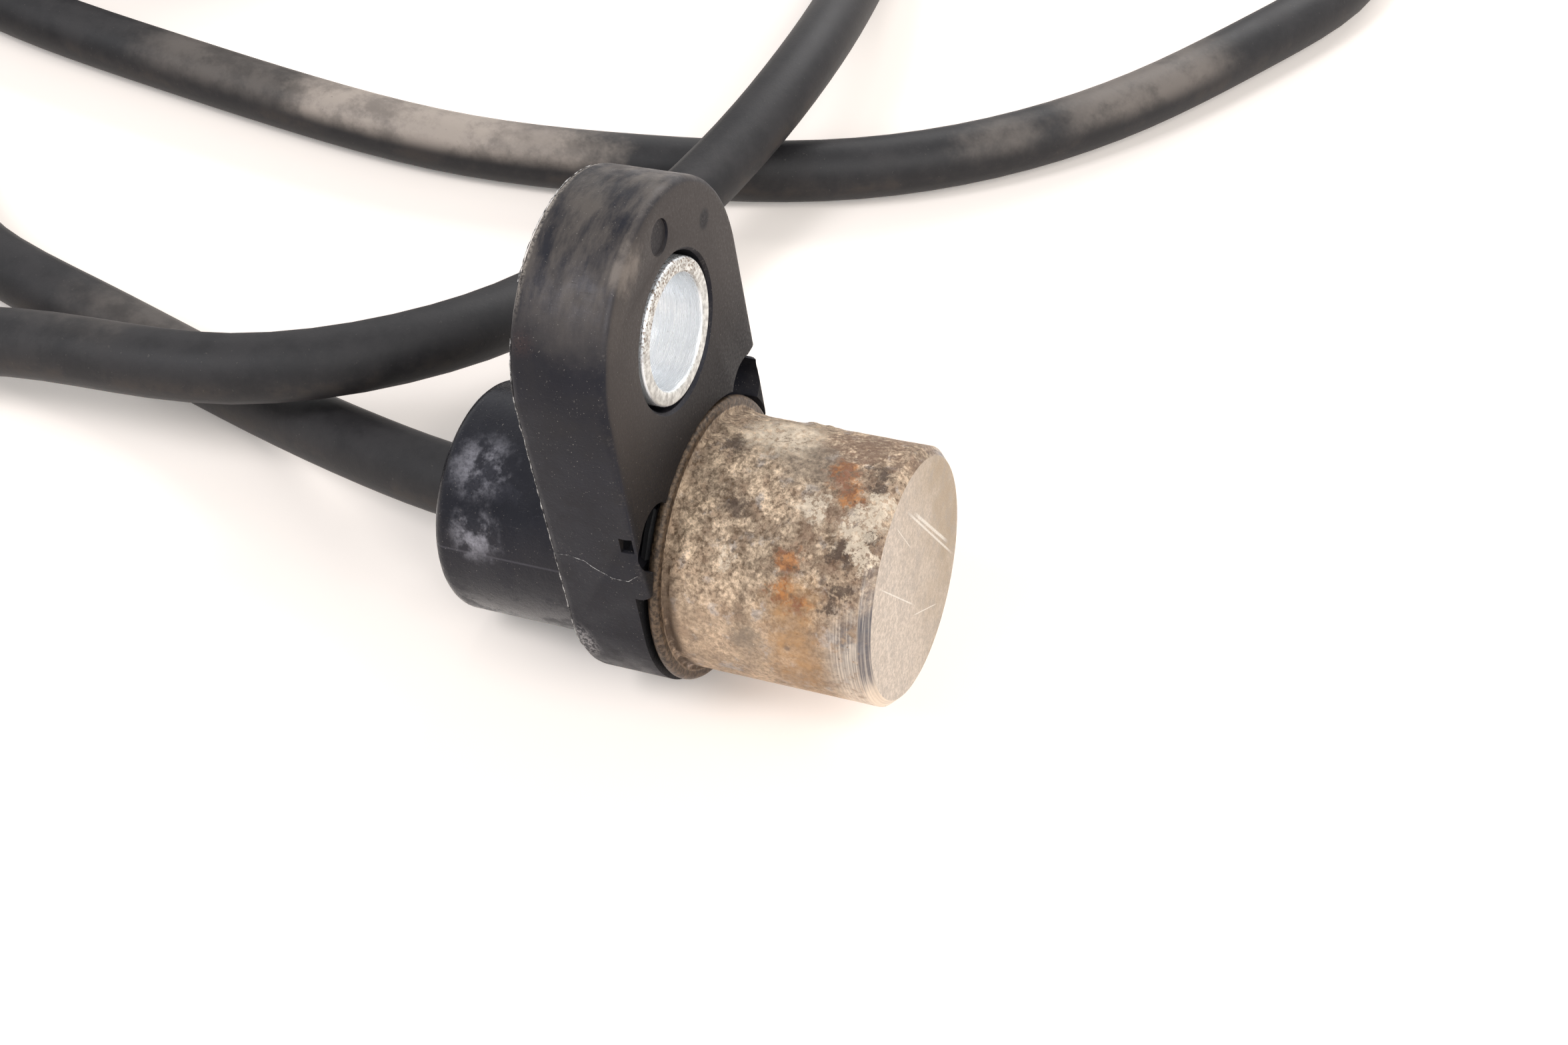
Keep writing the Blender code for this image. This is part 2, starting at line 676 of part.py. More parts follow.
def make_head_of_lead(terminal_back):
    """The cores, the resin round them, the crimped ferrule and the seal where the lead comes in."""
    for name, angle in CORE_ANGLES.items():
        start = polar(angle, CORE_ORBIT)
        end = polar(angle, TERMINAL_ORBIT)
        points = [
            (LEAD_START + GAP, *start),
            (LEAD_START + 3 * GAP, *start),
            (terminal_back - 3 * GAP, *end),
            (terminal_back - GAP, *end),
        ]
        tube(f"core_{name}", points, CORE_RADIUS, CORE_COLOURS[name])
    inner = LEAD_HOLE
    ferrule_back = -CAVITY_DEPTH + GAP
    ferrule_front = ferrule_back + FERRULE_LENGTH
    ring("lead_ferrule", inner, inner + FERRULE_WALL, ferrule_back, ferrule_front, BRASS, steps=SMALL_STEPS)
    seal_front = -CAVITY_DEPTH
    ring("lead_seal", inner, inner + SEAL_WALL, seal_front - SEAL_LENGTH, seal_front, SEAL_RUBBER, steps=SMALL_STEPS)
    shoulder = RESIN_FRONT - RESIN_FACE
    clear = inner + FERRULE_WALL + GAP
    resin = turned(
        "resin_fill",
        [
            (0, RESIN_FRONT),
            (SPINDLE_RADIUS, RESIN_FRONT),
            (SPINDLE_RADIUS, ferrule_back),
            (clear, ferrule_back),
            (clear, shoulder),
            (0, shoulder),
        ],
        RESIN_AMBER,
        steps=32,
    )
    orbit = (CORE_ORBIT + TERMINAL_ORBIT) / 2
    for name, angle in CORE_ANGLES.items():
        place = Matrix.Translation((0, *polar(angle, orbit))) @ ALONG_NOSE
        cut(resin, rod(f"core_hole_{name}", RESIN_HOLE, shoulder - GAP, RESIN_FRONT + GAP, steps=16, place=place))


def make_lead():
    start = on_axis((LEAD_START, 0, 0))
    mouth = on_axis((BOSS_END, 0, 0))
    line = smooth_route([start, mouth, *ROUTE], TUBE_SPACING, LEAD_RADIUS)
    return tube("lead_jacket", line, LEAD_RADIUS, LEAD_RUBBER)


def make_coil():
    """The tied coil: a ring with the outer shape of its turns, hollowed below where the tie passes."""
    inner = COIL_MIDDLE - COIL_HALF_WIDTH
    outer = COIL_MIDDLE + COIL_HALF_WIDTH
    place = Matrix.Translation((*COIL_CENTRE, 0))
    corner = COIL_CORNER
    coil = turned(
        "lead_coil",
        [
            (outer - corner, COIL_TOP),
            (outer, COIL_TOP - corner),
            (outer, corner),
            (outer - corner, 0),
            (inner + corner, 0),
            (inner, corner),
            (inner, COIL_TOP - corner),
            (inner + corner, COIL_TOP),
        ],
        LEAD_RUBBER,
        steps=ROUND_STEPS,
        place=place,
    )
    at_tie = place @ Matrix.Rotation(TIE_ANGLE, 4, "Z") @ Matrix.Translation((COIL_MIDDLE, 0, 0))
    wide = 2 * (COIL_HALF_WIDTH + GAP)
    groove = TIE_THICKNESS + GAP
    cut(
        coil,
        centred_box(
            "tie_groove",
            (0, 0, 0),
            (wide + 2 * TIE_THICKNESS, TIE_WIDTH + 2 * GAP, 2 * groove),
            place=at_tie,
        ),
    )
    upright = Matrix.Rotation(math.radians(90), 4, "X")
    height = TIE_THICKNESS + TURNS_HIGH * 2 * LEAD_RADIUS + TIE_SLACK
    middle = (0, (TIE_THICKNESS + height) / 2)
    band = plate(
        "coil_tie",
        [
            rounded_rectangle(
                wide + 2 * TIE_THICKNESS, height + TIE_THICKNESS, corner, centre=(0, (height + TIE_THICKNESS) / 2)
            ),
            rounded_rectangle(wide, height - TIE_THICKNESS, corner - TIE_THICKNESS / 2, centre=middle),
        ],
        TIE_WIDTH,
        BLACK_PLASTIC,
        at_tie @ upright,
    )
    head_low = (wide / 2 + TIE_THICKNESS / 2, -TIE_HEAD[1] / 2, COIL_TOP / 2)
    head_high = (wide / 2 + TIE_THICKNESS + TIE_HEAD[0], TIE_HEAD[1] / 2, COIL_TOP / 2 + TIE_HEAD[2])
    join(band, box("tie_head", head_low, head_high, place=at_tie))
    return coil


def make_tail():
    """The last of the lead, which leaves the coil's top turn and runs over it to the connector."""
    x, y = COIL_CENTRE
    start = math.radians(275)
    points = [
        (x + px, y + py)
        for px, py in arc((0, 0), COIL_MIDDLE, start, math.radians(186), 8)
        + arc((TAIL_TURN - COIL_MIDDLE, 0), TAIL_TURN, math.radians(180), math.radians(90), 6)
        + [(TAIL_TURN - COIL_MIDDLE + TAIL_STRAIGHT, TAIL_TURN)]
    ]
    last = len(points) - 1
    line = []
    for i, (px, py) in enumerate(points):
        share = min(1.0, i / (last - 2))
        line.append((px, py, TAIL_START_Z + TAIL_RISE * share))
    return tube("lead_tail", line, LEAD_RADIUS, LEAD_RUBBER)


def pin_heights():
    return [i * PIN_PITCH for i in (-1, 0, 1)]


def make_connector():
    """Three-way connector along +X, lying on the coil, with its socket at the far end."""
    x0 = COIL_CENTRE[0] + SHELL_START
    y0 = COIL_CENTRE[1] + TAIL_TURN
    place = Matrix.Translation((x0, y0, SHELL_MIDDLE))
    inside_width = SHELL_WIDTH - 2 * SHELL_WALL
    inside_height = SHELL_HEIGHT - 2 * SHELL_WALL
    past = SHELL_WALL
    shell = plate(
        "connector_shell",
        [rounded_rectangle(SHELL_WIDTH, SHELL_HEIGHT, SHELL_CORNER, count=4)],
        SHELL_LENGTH,
        BLACK_PLASTIC,
        place @ ACROSS_NOSE,
    )
    shell.data.transform(Matrix.Translation((0, 0, SHELL_LENGTH / 2)))
    latch = box(
        "latch_ramp",
        (SHELL_LENGTH - 2 * LATCH_LENGTH, -LATCH_WIDTH / 2, SHELL_HEIGHT / 2 - SHELL_WALL / 2),
        (SHELL_LENGTH - LATCH_LENGTH, LATCH_WIDTH / 2, SHELL_HEIGHT / 2 + LATCH_HEIGHT),
        place=place,
    )
    join(shell, latch)
    socket_floor = SHELL_LENGTH - SOCKET_DEPTH
    cut(
        shell,
        box(
            "socket",
            (socket_floor, -inside_width / 2, -inside_height / 2),
            (SHELL_LENGTH + past, inside_width / 2, inside_height / 2),
            place=place,
        ),
        box(
            "rear_pocket",
            (-past, -inside_width / 2, -inside_height / 2),
            (REAR_POCKET, inside_width / 2, inside_height / 2),
            place=place,
        ),
    )
    lock = box(
        "connector_lock",
        (socket_floor + GAP, -inside_width / 2 + GAP, -inside_height / 2 + GAP),
        (socket_floor + GAP + PLATE_THICKNESS, inside_width / 2 - GAP, inside_height / 2 - GAP),
        LOCK_WHITE,
        place,
    )
    grommet = box(
        "connector_grommet",
        (2 * GAP, -inside_width / 2 + GAP, -inside_height / 2 + GAP),
        (2 * GAP + GROMMET_LENGTH, inside_width / 2 - GAP, inside_height / 2 - GAP),
        SEAL_RUBBER,
        place,
    )
    pin_end = socket_floor + PIN_REACH
    sleeve_end = TAIL_TURN - COIL_MIDDLE + TAIL_STRAIGHT
    wire_start = COIL_CENTRE[0] + sleeve_end + GAP
    for (name, angle), y in zip(CORE_ANGLES.items(), (0, -PIN_PITCH, PIN_PITCH)):
        size = (PIN_WIDTH + 2 * GAP, PIN_THICKNESS + 2 * GAP)
        slot = box(
            f"pin_slot_{name}",
            (REAR_POCKET - past, y - size[0] / 2, -size[1] / 2),
            (socket_floor + PLATE_THICKNESS + past, y + size[0] / 2, size[1] / 2),
            place=place,
        )
        cut(shell, slot)
        cut(lock, slot)
        box(
            f"connector_pin_{name}",
            (REAR_POCKET + GAP, y - PIN_WIDTH / 2, -PIN_THICKNESS / 2),
            (pin_end, y + PIN_WIDTH / 2, PIN_THICKNESS / 2),
            BRASS,
            place,
        )
        hole = place @ Matrix.Translation((0, y, 0)) @ ALONG_NOSE
        cut(grommet, rod(f"wire_hole_{name}", CORE_RADIUS + GAP, 0, REAR_POCKET, steps=12, place=hole))
        side, up = polar(angle, CORE_ORBIT)
        begin = Vector((wire_start, y0 + side, TAIL_END_Z + up))
        end = Vector((x0, y0 + y, SHELL_MIDDLE))
        room = Vector((SLEEVE_PAST_END - GAP, 0, 0))
        tube(
            f"wire_{name}",
            [
                begin,
                begin + room,
                begin + room + Vector(((end.x - begin.x - room.x) / 2, (end.y - begin.y) / 2, (end.z - begin.z) / 2)),
                end,
                end + Vector((REAR_POCKET, 0, 0)),
            ],
            CORE_RADIUS,
            CORE_COLOURS[name],
        )
    sleeve_place = Matrix.Translation((COIL_CENTRE[0] + sleeve_end, y0, TAIL_END_Z)) @ ALONG_NOSE
    ring(
        "lead_sleeve",
        LEAD_HOLE,
        LEAD_HOLE + SLEEVE_WALL,
        SLEEVE_PAST_END - SLEEVE_LENGTH,
        SLEEVE_PAST_END,
        SEAL_RUBBER,
        SMALL_STEPS,
        sleeve_place,
    )


clear_scene()
parts = new_collection("speed_sensor")
cutters = new_collection("cutters")

make_housing()
make_bush()
make_can()
make_ring()
make_carrier()
make_magnet_and_chip()
make_head_of_lead(make_board())

# Everything so far lies in the nose's own frame, and is now laid down on the floor with it.
for piece in [*parts.objects, *cutters.objects]:
    piece.matrix_world = AXIS_TO_WORLD @ piece.matrix_world

make_lead()
make_coil()
make_tail()
make_connector()

for piece in parts.objects:
    if piece.type == "MESH":
        smooth(piece)
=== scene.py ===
"""The speed sensor as in its photograph: dusty moulded nylon, a corroded steel nose and a black lead."""

import math

import bmesh
import bpy
import numpy as np
from mathutils import Matrix, Vector, noise


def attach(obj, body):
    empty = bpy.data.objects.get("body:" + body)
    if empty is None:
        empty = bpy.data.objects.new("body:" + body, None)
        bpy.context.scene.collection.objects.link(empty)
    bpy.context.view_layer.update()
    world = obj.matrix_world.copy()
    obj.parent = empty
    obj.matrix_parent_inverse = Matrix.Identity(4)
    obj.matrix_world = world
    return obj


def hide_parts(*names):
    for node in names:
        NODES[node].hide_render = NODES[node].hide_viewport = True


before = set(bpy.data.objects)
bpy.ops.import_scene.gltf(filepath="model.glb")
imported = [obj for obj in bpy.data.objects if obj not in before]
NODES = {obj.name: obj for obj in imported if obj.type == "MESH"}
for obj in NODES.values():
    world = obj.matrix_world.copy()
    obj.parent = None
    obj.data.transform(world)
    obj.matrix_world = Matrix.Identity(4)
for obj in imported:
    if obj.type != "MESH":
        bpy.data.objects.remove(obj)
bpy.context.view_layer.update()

# Where the sensor's own axes lie, as in the CAD source: X along the nose, Z up the ear to its bush.
PITCH = math.radians(9.4391)
AXIS_HEIGHT = 0.0099198
AXIS_SHIFT = 0.0015106
AXIS_TO_WORLD = Matrix.Translation((AXIS_SHIFT, 0, AXIS_HEIGHT)) @ Matrix.Rotation(-PITCH, 4, "Y")

EAR_REACH = 0.0167
NOSE_RADIUS = 0.0080
NOSE_REACH = 0.0130
COLLAR_RADIUS = 0.0090
BOSS_END = -0.0162
EAR_THICKNESS = 0.0060
EAR_TOP_RADIUS = 0.0089
EAR_FOOT_RADIUS = 0.00915
EAR_EDGE = 0.0006
BOSS_RADIUS = 0.0075
BOSS_EDGE = 0.0009
SEAT_RADIUS = 0.0093
SEAT_DEPTH = 0.0009
CAVITY_RADIUS = 0.0063
CAVITY_DEPTH = 0.0115
SEAL_SEAT_RADIUS = 0.0045
SEAL_SEAT_DEPTH = 0.0138
COLLAR_BACK = -0.0006
COLLAR_MIDDLE = -0.00025
COLLAR_HALF = 0.00035
COLLAR_ROUND = 0.0003
COLLAR_NECK = 0.0001
CAN_FOOT = 0.00035
CAN_FILLET = 0.00025
CAN_WALL = 0.0006
CAN_END_WALL = 0.0008
NOSE_CHAMFER = 0.0005
BORE_RADIUS = 0.0034
BUSH_RADIUS = 0.00435
BUSH_HOLE = 0.0047
BUSH_LIP = 0.00022
BUSH_PROUD = 0.00005

# Marks and openings of the housing; the blocks are cut out of it, from corner to corner
CUT_PAST = 0.001
MARK_RADII = (0.00115, 0.00105)
MARK_DEPTH = 0.00018
MARK_CENTRE = (0.0002, EAR_REACH + 0.0066)
POCKET_RADIUS = 0.0021
POCKET_DEPTH = 0.0024
POCKET_SIDE = 0.0068
POCKET_HEIGHT = 0.0067
BLOCKS = (
    ("hole_left", (-0.0011, -0.0105, 0.0074), (-0.0003, -0.0070, 0.0085)),
    ("notch_right", (-0.0009, 0.0069, 0.0072), (0.0010, 0.0105, 0.0086)),
    ("tab_end_left", (-SEAT_DEPTH, -0.0105, -0.0020), (0.0010, -0.0078, 0.0036)),
)
EDGE_SOFTENING = 0.00006
HEAL_DISTANCE = 0.000002
BEAD_SEED = 1

# The photograph's view
CAMERA_PLACE = (0.036351, -0.083576, 0.112443)
CAMERA_RIGHT = (0.92709, 0.37372, 0.02894)
CAMERA_UP = (-0.29629, 0.68336, 0.66725)
CAMERA_LENS = 50.51
CAMERA_SENSOR = 36

FLOOR_LEVEL = -0.0001
FLOOR_HALF = 3.0
FLOOR_COLOUR = (0.99, 0.90, 0.83, 1)
FLOOR_GLOW = 0.20
GLOW_COLOUR = (1.0, 0.97, 0.94, 1)
WORLD_LIGHT = 0.36
WORLD_COLOUR = (0.94, 0.97, 1.0, 1)
LAMP_TARGET = (0, 0, 0.012)
# Name, place, size, power and colour of each lamp
LAMPS = (
    ("key", (0.38, -0.20, 0.45), (0.40, 0.40), 2.3, (1.0, 0.99, 0.97)),
    ("side", (-0.25, -0.30, 0.485), (0.15, 0.26), 1.5, (0.95, 0.96, 1.0)),
    ("back", (0.05, 0.60, 0.40), (0.45, 0.20), 2.4, (1.0, 0.99, 0.98)),
)

LEAD_RADIUS = 0.0024
LEAD_START = -0.0103
COIL_CENTRE = (-0.0845, 0.0750)
COIL_MIDDLE = 0.0250
COIL_SLACK = 0.0003
# Turns of the coil in degrees: how far it is wound, in what steps, from where, and how long a move over takes
COIL_WOUND = 1435
COIL_STEP = 12
COIL_FIRST = 186
COIL_MOVE = 80
TIE_ANGLE = math.radians(14)
# The tie lifts the turns near it, up to so many degrees of winding: fully within one angle, then fading
TIE_UNTIL = 1284
TIE_HOLD = 4
TIE_FADE = 26
GAP = 0.0003
TAIL_RISE = 0.0009
TAIL_TURN = 0.0195
TAIL_STRAIGHT = 0.0060
TIE_LIFT = 0.0008
LEAD_HOLE = LEAD_RADIUS + GAP
SPLINE_SAMPLES = 5
CORES = ("red", "black", "white")
COIL_TOP = 4 * LEAD_RADIUS + COIL_SLACK
TAIL_START_Z = COIL_TOP + GAP + LEAD_RADIUS

# Route of the lead from the boss to the coil, as in the CAD source
ROUTE = [
    (-0.0242, 0.0017, 0.0053),
    (-0.0376, 0.0053, 0.0028),
    (-0.0514, 0.0079, 0.0028),
    (-0.0649, 0.0117, 0.0024),
    (-0.0762, 0.0200, 0.0024),
    (-0.0890, 0.0256, 0.0024),
    (-0.1024, 0.0222, 0.0024),
    (-0.1105, 0.0110, 0.0024),
    (-0.1096, -0.0028, 0.0024),
    (-0.1001, -0.0128, 0.0024),
    (-0.0863, -0.0145, 0.0024),
    (-0.0735, -0.0089, 0.0025),
    (-0.0613, -0.0021, 0.0043),
    (-0.0479, -0.0002, 0.0076),
    (-0.0342, 0.0014, 0.0094),
    (-0.0232, 0.0096, 0.0092),
    (-0.0175, 0.0223, 0.0072),
    (-0.0139, 0.0359, 0.0075),
    (-0.0125, 0.0498, 0.0079),
    (-0.0137, 0.0637, 0.0055),
    (-0.0157, 0.0774, 0.0030),
    (-0.0167, 0.0914, 0.0024),
    (-0.0124, 0.1046, 0.0024),
    (-0.0013, 0.1128, 0.0024),
    (0.0125, 0.1120, 0.0024),
    (0.0226, 0.1026, 0.0024),
    (0.0244, 0.0889, 0.0024),
    (0.0189, 0.0759, 0.0024),
    (0.0118, 0.0638, 0.0024),
    (0.0027, 0.0530, 0.0024),
    (-0.0087, 0.0448, 0.0024),
    (-0.0217, 0.0397, 0.0024),
    (-0.0354, 0.0363, 0.0024),
    (-0.0495, 0.0356, 0.0024),
    (-0.0635, 0.0361, 0.0024),
    (-0.0776, 0.0372, 0.0024),
    (-0.0912, 0.0406, 0.0024),
    (-0.1030, 0.0482, 0.0024),
    (-0.1080, 0.0560, 0.0024),
    (-0.1112, 0.0650, 0.0024),
]


def add_object(name, data):
    """A new object in the scene."""
    obj = bpy.data.objects.new(name, data)
    bpy.context.scene.collection.objects.link(obj)
    return obj


def evaluated_mesh(obj):
    """The object's mesh as its modifiers or its curve make it."""
    graph = bpy.context.evaluated_depsgraph_get()
    return bpy.data.meshes.new_from_object(obj.evaluated_get(graph))


def finished(name, shape):
    """The mesh of a shape that is drawn."""
    mesh = bpy.data.meshes.new(name)
    shape.to_mesh(mesh)
    shape.free()
    return mesh


def smoothstep(x):
    """Rises smoothly from nothing to one as x does."""
    x = min(1.0, max(0.0, x))
    return x * x * (3 - 2 * x)


def on_axis(x, y, z):
    """The world place of a point in the sensor's own axes."""
    return AXIS_TO_WORLD @ Vector((x, y, z))


def spline_through(points, samples):
    """A dense line along the natural cubic spline through the points."""
    points = np.array(points, float)
    runs = np.linalg.norm(np.diff(points, axis=0), axis=1)
    last = len(points) - 1
    system = np.eye(last + 1)
    sides = np.zeros((last + 1, 3))
    for i in range(1, last):
        system[i, i - 1 : i + 2] = runs[i - 1], 2 * (runs[i - 1] + runs[i]), runs[i]
        sides[i] = 6 * ((points[i + 1] - points[i]) / runs[i] - (points[i] - points[i - 1]) / runs[i - 1])
    bends = np.linalg.solve(system, sides)
    dense = [points[0]]
    for i, run in enumerate(runs):
        for s in np.linspace(0, 1, samples + 1)[1:]:
            r = 1 - s
            straight = r * points[i] + s * points[i + 1]
            dense.append(straight + run**2 / 6 * ((r**3 - r) * bends[i] + (s**3 - s) * bends[i + 1]))
    dense = np.array(dense)
    dense[:, 2] = np.maximum(dense[:, 2], LEAD_RADIUS)
    return dense


def coil_points():
    """Two turns side by side, two more on them, then the lead's end on top, each clear of the last."""
    outer = COIL_MIDDLE + LEAD_RADIUS
    inner = COIL_MIDDLE - LEAD_RADIUS
    low = LEAD_RADIUS
    high = 3 * LEAD_RADIUS + COIL_SLACK
    moves = (
        (271, outer, inner, low, low),
        (601, inner, inner, low, high),
        (931, inner, outer, high, high),
        (1254, outer, COIL_MIDDLE, high, TAIL_START_Z),
    )
    points = []
    for turned in range(0, COIL_WOUND, COIL_STEP):
        radius, height = outer, low
        for start, r0, r1, z0, z1 in moves:
            if turned >= start:
                share = smoothstep((turned - start) / COIL_MOVE)
                radius = r0 + (r1 - r0) * share
                height = z0 + (z1 - z0) * share
        angle = math.radians(COIL_FIRST - turned)
        from_tie = math.degrees(abs(math.remainder(angle - TIE_ANGLE, 2 * math.pi)))
        if turned < TIE_UNTIL:
            lift = TIE_LIFT if height < high else TIE_LIFT - COIL_SLACK
            height += lift * (1 - smoothstep((from_tie - TIE_HOLD) / TIE_FADE))
        points.append(
            (COIL_CENTRE[0] + radius * math.cos(angle), COIL_CENTRE[1] + radius * math.sin(angle), height)
        )
    return points


def tail_points():
    """The end of the lead, from the top of the coil round to the connector."""
    x = COIL_CENTRE[0] + TAIL_TURN - COIL_MIDDLE
    y = COIL_CENTRE[1]
    points = []
    for i in range(1, 7):
        angle = math.radians(180 - 15 * i)
        rise = TAIL_RISE * smoothstep(i / 6)
        points.append((x + TAIL_TURN * math.cos(angle), y + TAIL_TURN * math.sin(angle), TAIL_START_Z + rise))
    points.append((x + TAIL_STRAIGHT, y + TAIL_TURN, TAIL_START_Z + TAIL_RISE))
    return points


def make_camera():
    """The photograph's view, found from the shapes of the sensor."""
    data = bpy.data.cameras.new("camera")
    data.sensor_width = CAMERA_SENSOR
    data.lens = CAMERA_LENS
    data.clip_start = 0.005
    data.clip_end = 20
    camera = add_object("camera", data)
    right = Vector(CAMERA_RIGHT).normalized()
    up = Vector(CAMERA_UP).normalized()
    back = right.cross(up).normalized()
    turn = Matrix((right, up, back)).transposed()
    camera.matrix_world = Matrix.Translation(CAMERA_PLACE) @ turn.to_4x4()
    bpy.context.scene.camera = camera


def tube(name, points, radii, resolution):
    """A round tube along the points, with flat ends."""
    curve = bpy.data.curves.new(name, "CURVE")
    curve.dimensions = "3D"
    curve.bevel_depth = 1
    curve.bevel_resolution = resolution
    curve.use_fill_caps = True
    spline = curve.splines.new("POLY")
    spline.points.add(len(points) - 1)
    for point, place, radius in zip(spline.points, points, radii):
        point.co = (*place, 1)
        point.radius = radius
    spline.use_smooth = True
    draft = add_object(name, curve)
    mesh = evaluated_mesh(draft)
    bpy.data.objects.remove(draft)
    mesh.shade_smooth()
    mesh.set_sharp_from_angle(angle=math.radians(60))
    return mesh


def make_lead():
    """One tube for the whole lead."""
    start = on_axis(LEAD_START, 0, 0)
    mouth = on_axis(BOSS_END, 0, 0)
    knots = [start, mouth, *ROUTE, *coil_points(), *tail_points()]
    line = spline_through(knots, SPLINE_SAMPLES)
    lead = add_object("lead", tube("lead", line, [LEAD_RADIUS] * len(line), 8))
    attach(lead, "root")
    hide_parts("lead_jacket", "lead_coil", "lead_tail")
    length = float(np.linalg.norm(np.diff(line, axis=0), axis=1).sum())
    print("lead length", round(length, 4))
    on_lead = ["coil_tie", "lead_sleeve", "connector_shell", "connector_grommet", "connector_lock"]
    on_lead += [f"connector_pin_{c}" for c in CORES] + [f"wire_{c}" for c in CORES]
    return lead


class Look:
    """A material and short ways to add nodes to it. Coordinates are the object's own, in millimetres."""

    def __init__(self, name):
        self.material = bpy.data.materials.new(name)
        self.material.use_nodes = True
        self.tree = self.material.node_tree
        self.shader = self.tree.nodes["Principled BSDF"]
        where = self.node("ShaderNodeTexCoord")
        self.normal = where.outputs["Normal"]
        self.place = self.vector("SCALE", where.outputs["Object"], 1000)
        split = self.node("ShaderNodeSeparateXYZ")
        self.tree.links.new(self.place, split.inputs[0])
        self.x, self.y, self.z = split.outputs
        facing = self.node("ShaderNodeSeparateXYZ")
        self.tree.links.new(self.normal, facing.inputs[0])
        self.nx, self.ny, self.nz = facing.outputs
        self.colour = None

    def node(self, kind, **settings):
        made = self.tree.nodes.new(kind)
        for key, value in settings.items():
            setattr(made, key, value)
        return made

    def put(self, socket, value):
        if isinstance(value, bpy.types.NodeSocket):
            self.tree.links.new(value, socket)
        elif isinstance(value, tuple) and len(value) == 3 and len(socket.default_value) == 4:
            socket.default_value = (*value, 1)
        else:
            socket.default_value = value

    def math(self, operation, a, b=0.0):
        made = self.node("ShaderNodeMath", operation=operation)
        self.put(made.inputs[0], a)
        self.put(made.inputs[1], b)
        return made.outputs[0]

    def vector(self, operation, a, b=None, output=0):
        """A vector sum; b is the scale where the operation is SCALE."""
        made = self.node("ShaderNodeVectorMath", operation=operation)
        self.put(made.inputs[0], a)
        if b is not None:
            self.put(made.inputs["Scale" if operation == "SCALE" else 1], b)
        return made.outputs[output]

    def step(self, value, low, high, start=0.0, end=1.0):
        """Rises smoothly from start to end as the value goes from low to high."""
        made = self.node("ShaderNodeMapRange", interpolation_type="SMOOTHSTEP")
        self.put(made.inputs["Value"], value)
        self.put(made.inputs["From Min"], low)
        self.put(made.inputs["From Max"], high)
        self.put(made.inputs["To Min"], start)
        self.put(made.inputs["To Max"], end)
        return made.outputs["Result"]

    def fall(self, value, low, high):
        """Falls smoothly from one to nothing as the value goes from low to high."""
        return self.step(value, low, high, 1.0, 0.0)

    def most(self, *values):
        """The largest of the values."""
        found = values[0]
        for value in values[1:]:
            found = self.math("MAXIMUM", found, value)
        return found

    def noise(self, scale, detail=4.0, rough=0.55, stretch=None, offset=(0, 0, 0)):
        made = self.node("ShaderNodeTexNoise")
        place = self.place
        if stretch or any(offset):
            mapping = self.node("ShaderNodeMapping")
            self.put(mapping.inputs["Vector"], place)
            mapping.inputs["Scale"].default_value = stretch or (1, 1, 1)
            mapping.inputs["Location"].default_value = offset
            place = mapping.outputs[0]
        self.put(made.inputs["Vector"], place)
        made.inputs["Scale"].default_value = scale
        made.inputs["Detail"].default_value = detail
        made.inputs["Roughness"].default_value = rough
        return made.outputs["Fac"]

    def cells(self, scale, offset=(0, 0, 0)):
        made = self.node("ShaderNodeTexVoronoi")
        mapping = self.node("ShaderNodeMapping")
        self.put(mapping.inputs["Vector"], self.place)
        mapping.inputs["Location"].default_value = offset
        self.put(made.inputs["Vector"], mapping.outputs[0])
        made.inputs["Scale"].default_value = scale
        return made.outputs["Distance"]

    def ragged(self, scale, amount):
        """The place, pushed about by noise, for marks with ragged outlines."""
        made = self.node("ShaderNodeTexNoise")
        self.put(made.inputs["Vector"], self.place)
        made.inputs["Scale"].default_value = scale
        made.inputs["Detail"].default_value = 5
        made.inputs["Roughness"].default_value = 0.72
        centred = self.vector("SUBTRACT", made.outputs["Color"], (0.5, 0.5, 0.5))
        return self.vector("ADD", self.place, self.vector("SCALE", centred, amount))

    def tone(self, factor):
        """Makes the colour so far darker or lighter by the factor."""
        self.colour = self.vector("SCALE", self.colour, factor)

    def coat(self, colour, *shares):
        """Lays the product of the shares of another colour over the colour so far."""
        self.colour = self.mix(self.times(*shares), self.colour, colour)

    def near(self, point, radius, soft, wobble=None, stretch=(1, 1, 1), place=None):
        """One within the radius of the point, falling to nothing over the soft width, with an uneven edge."""
        away = self.vector("SUBTRACT", place or self.place, point)
        distance = self.vector("LENGTH", self.vector("MULTIPLY", away, stretch), output="Value")
        if wobble is not None:
            distance = self.math("ADD", distance, self.math("MULTIPLY", wobble, radius * 1.6))
            distance = self.math("SUBTRACT", distance, radius * 0.8)
        return self.fall(distance, radius, radius + soft)

    def spots(self, table, place):
        """One on each of the table's marks: point, radius and width of the edge."""
        return self.most(*[self.near(point, radius, soft, place=place) for point, radius, soft in table])

    def mix(self, share, a, b):
        made = self.node("ShaderNodeMix", data_type="RGBA")
        self.put(made.inputs[0], share)
        self.put(made.inputs[6], a)
        self.put(made.inputs[7], b)
        return made.outputs[2]

    def blend(self, share, a, b):
        made = self.node("ShaderNodeMix", data_type="FLOAT")
        self.put(made.inputs[0], share)
        self.put(made.inputs[2], a)
        self.put(made.inputs[3], b)
        return made.outputs[0]

    def bump(self, height, distance, strength=1.0):
        """The height, from 0 to 1, over the distance in millimetres."""
        made = self.node("ShaderNodeBump")
        made.inputs["Strength"].default_value = strength
        made.inputs["Distance"].default_value = distance / 1000
        self.put(made.inputs["Height"], height)
        if self.shader.inputs["Normal"].is_linked:
            self.put(made.inputs["Normal"], self.shader.inputs["Normal"].links[0].from_socket)
        self.put(self.shader.inputs["Normal"], made.outputs[0])

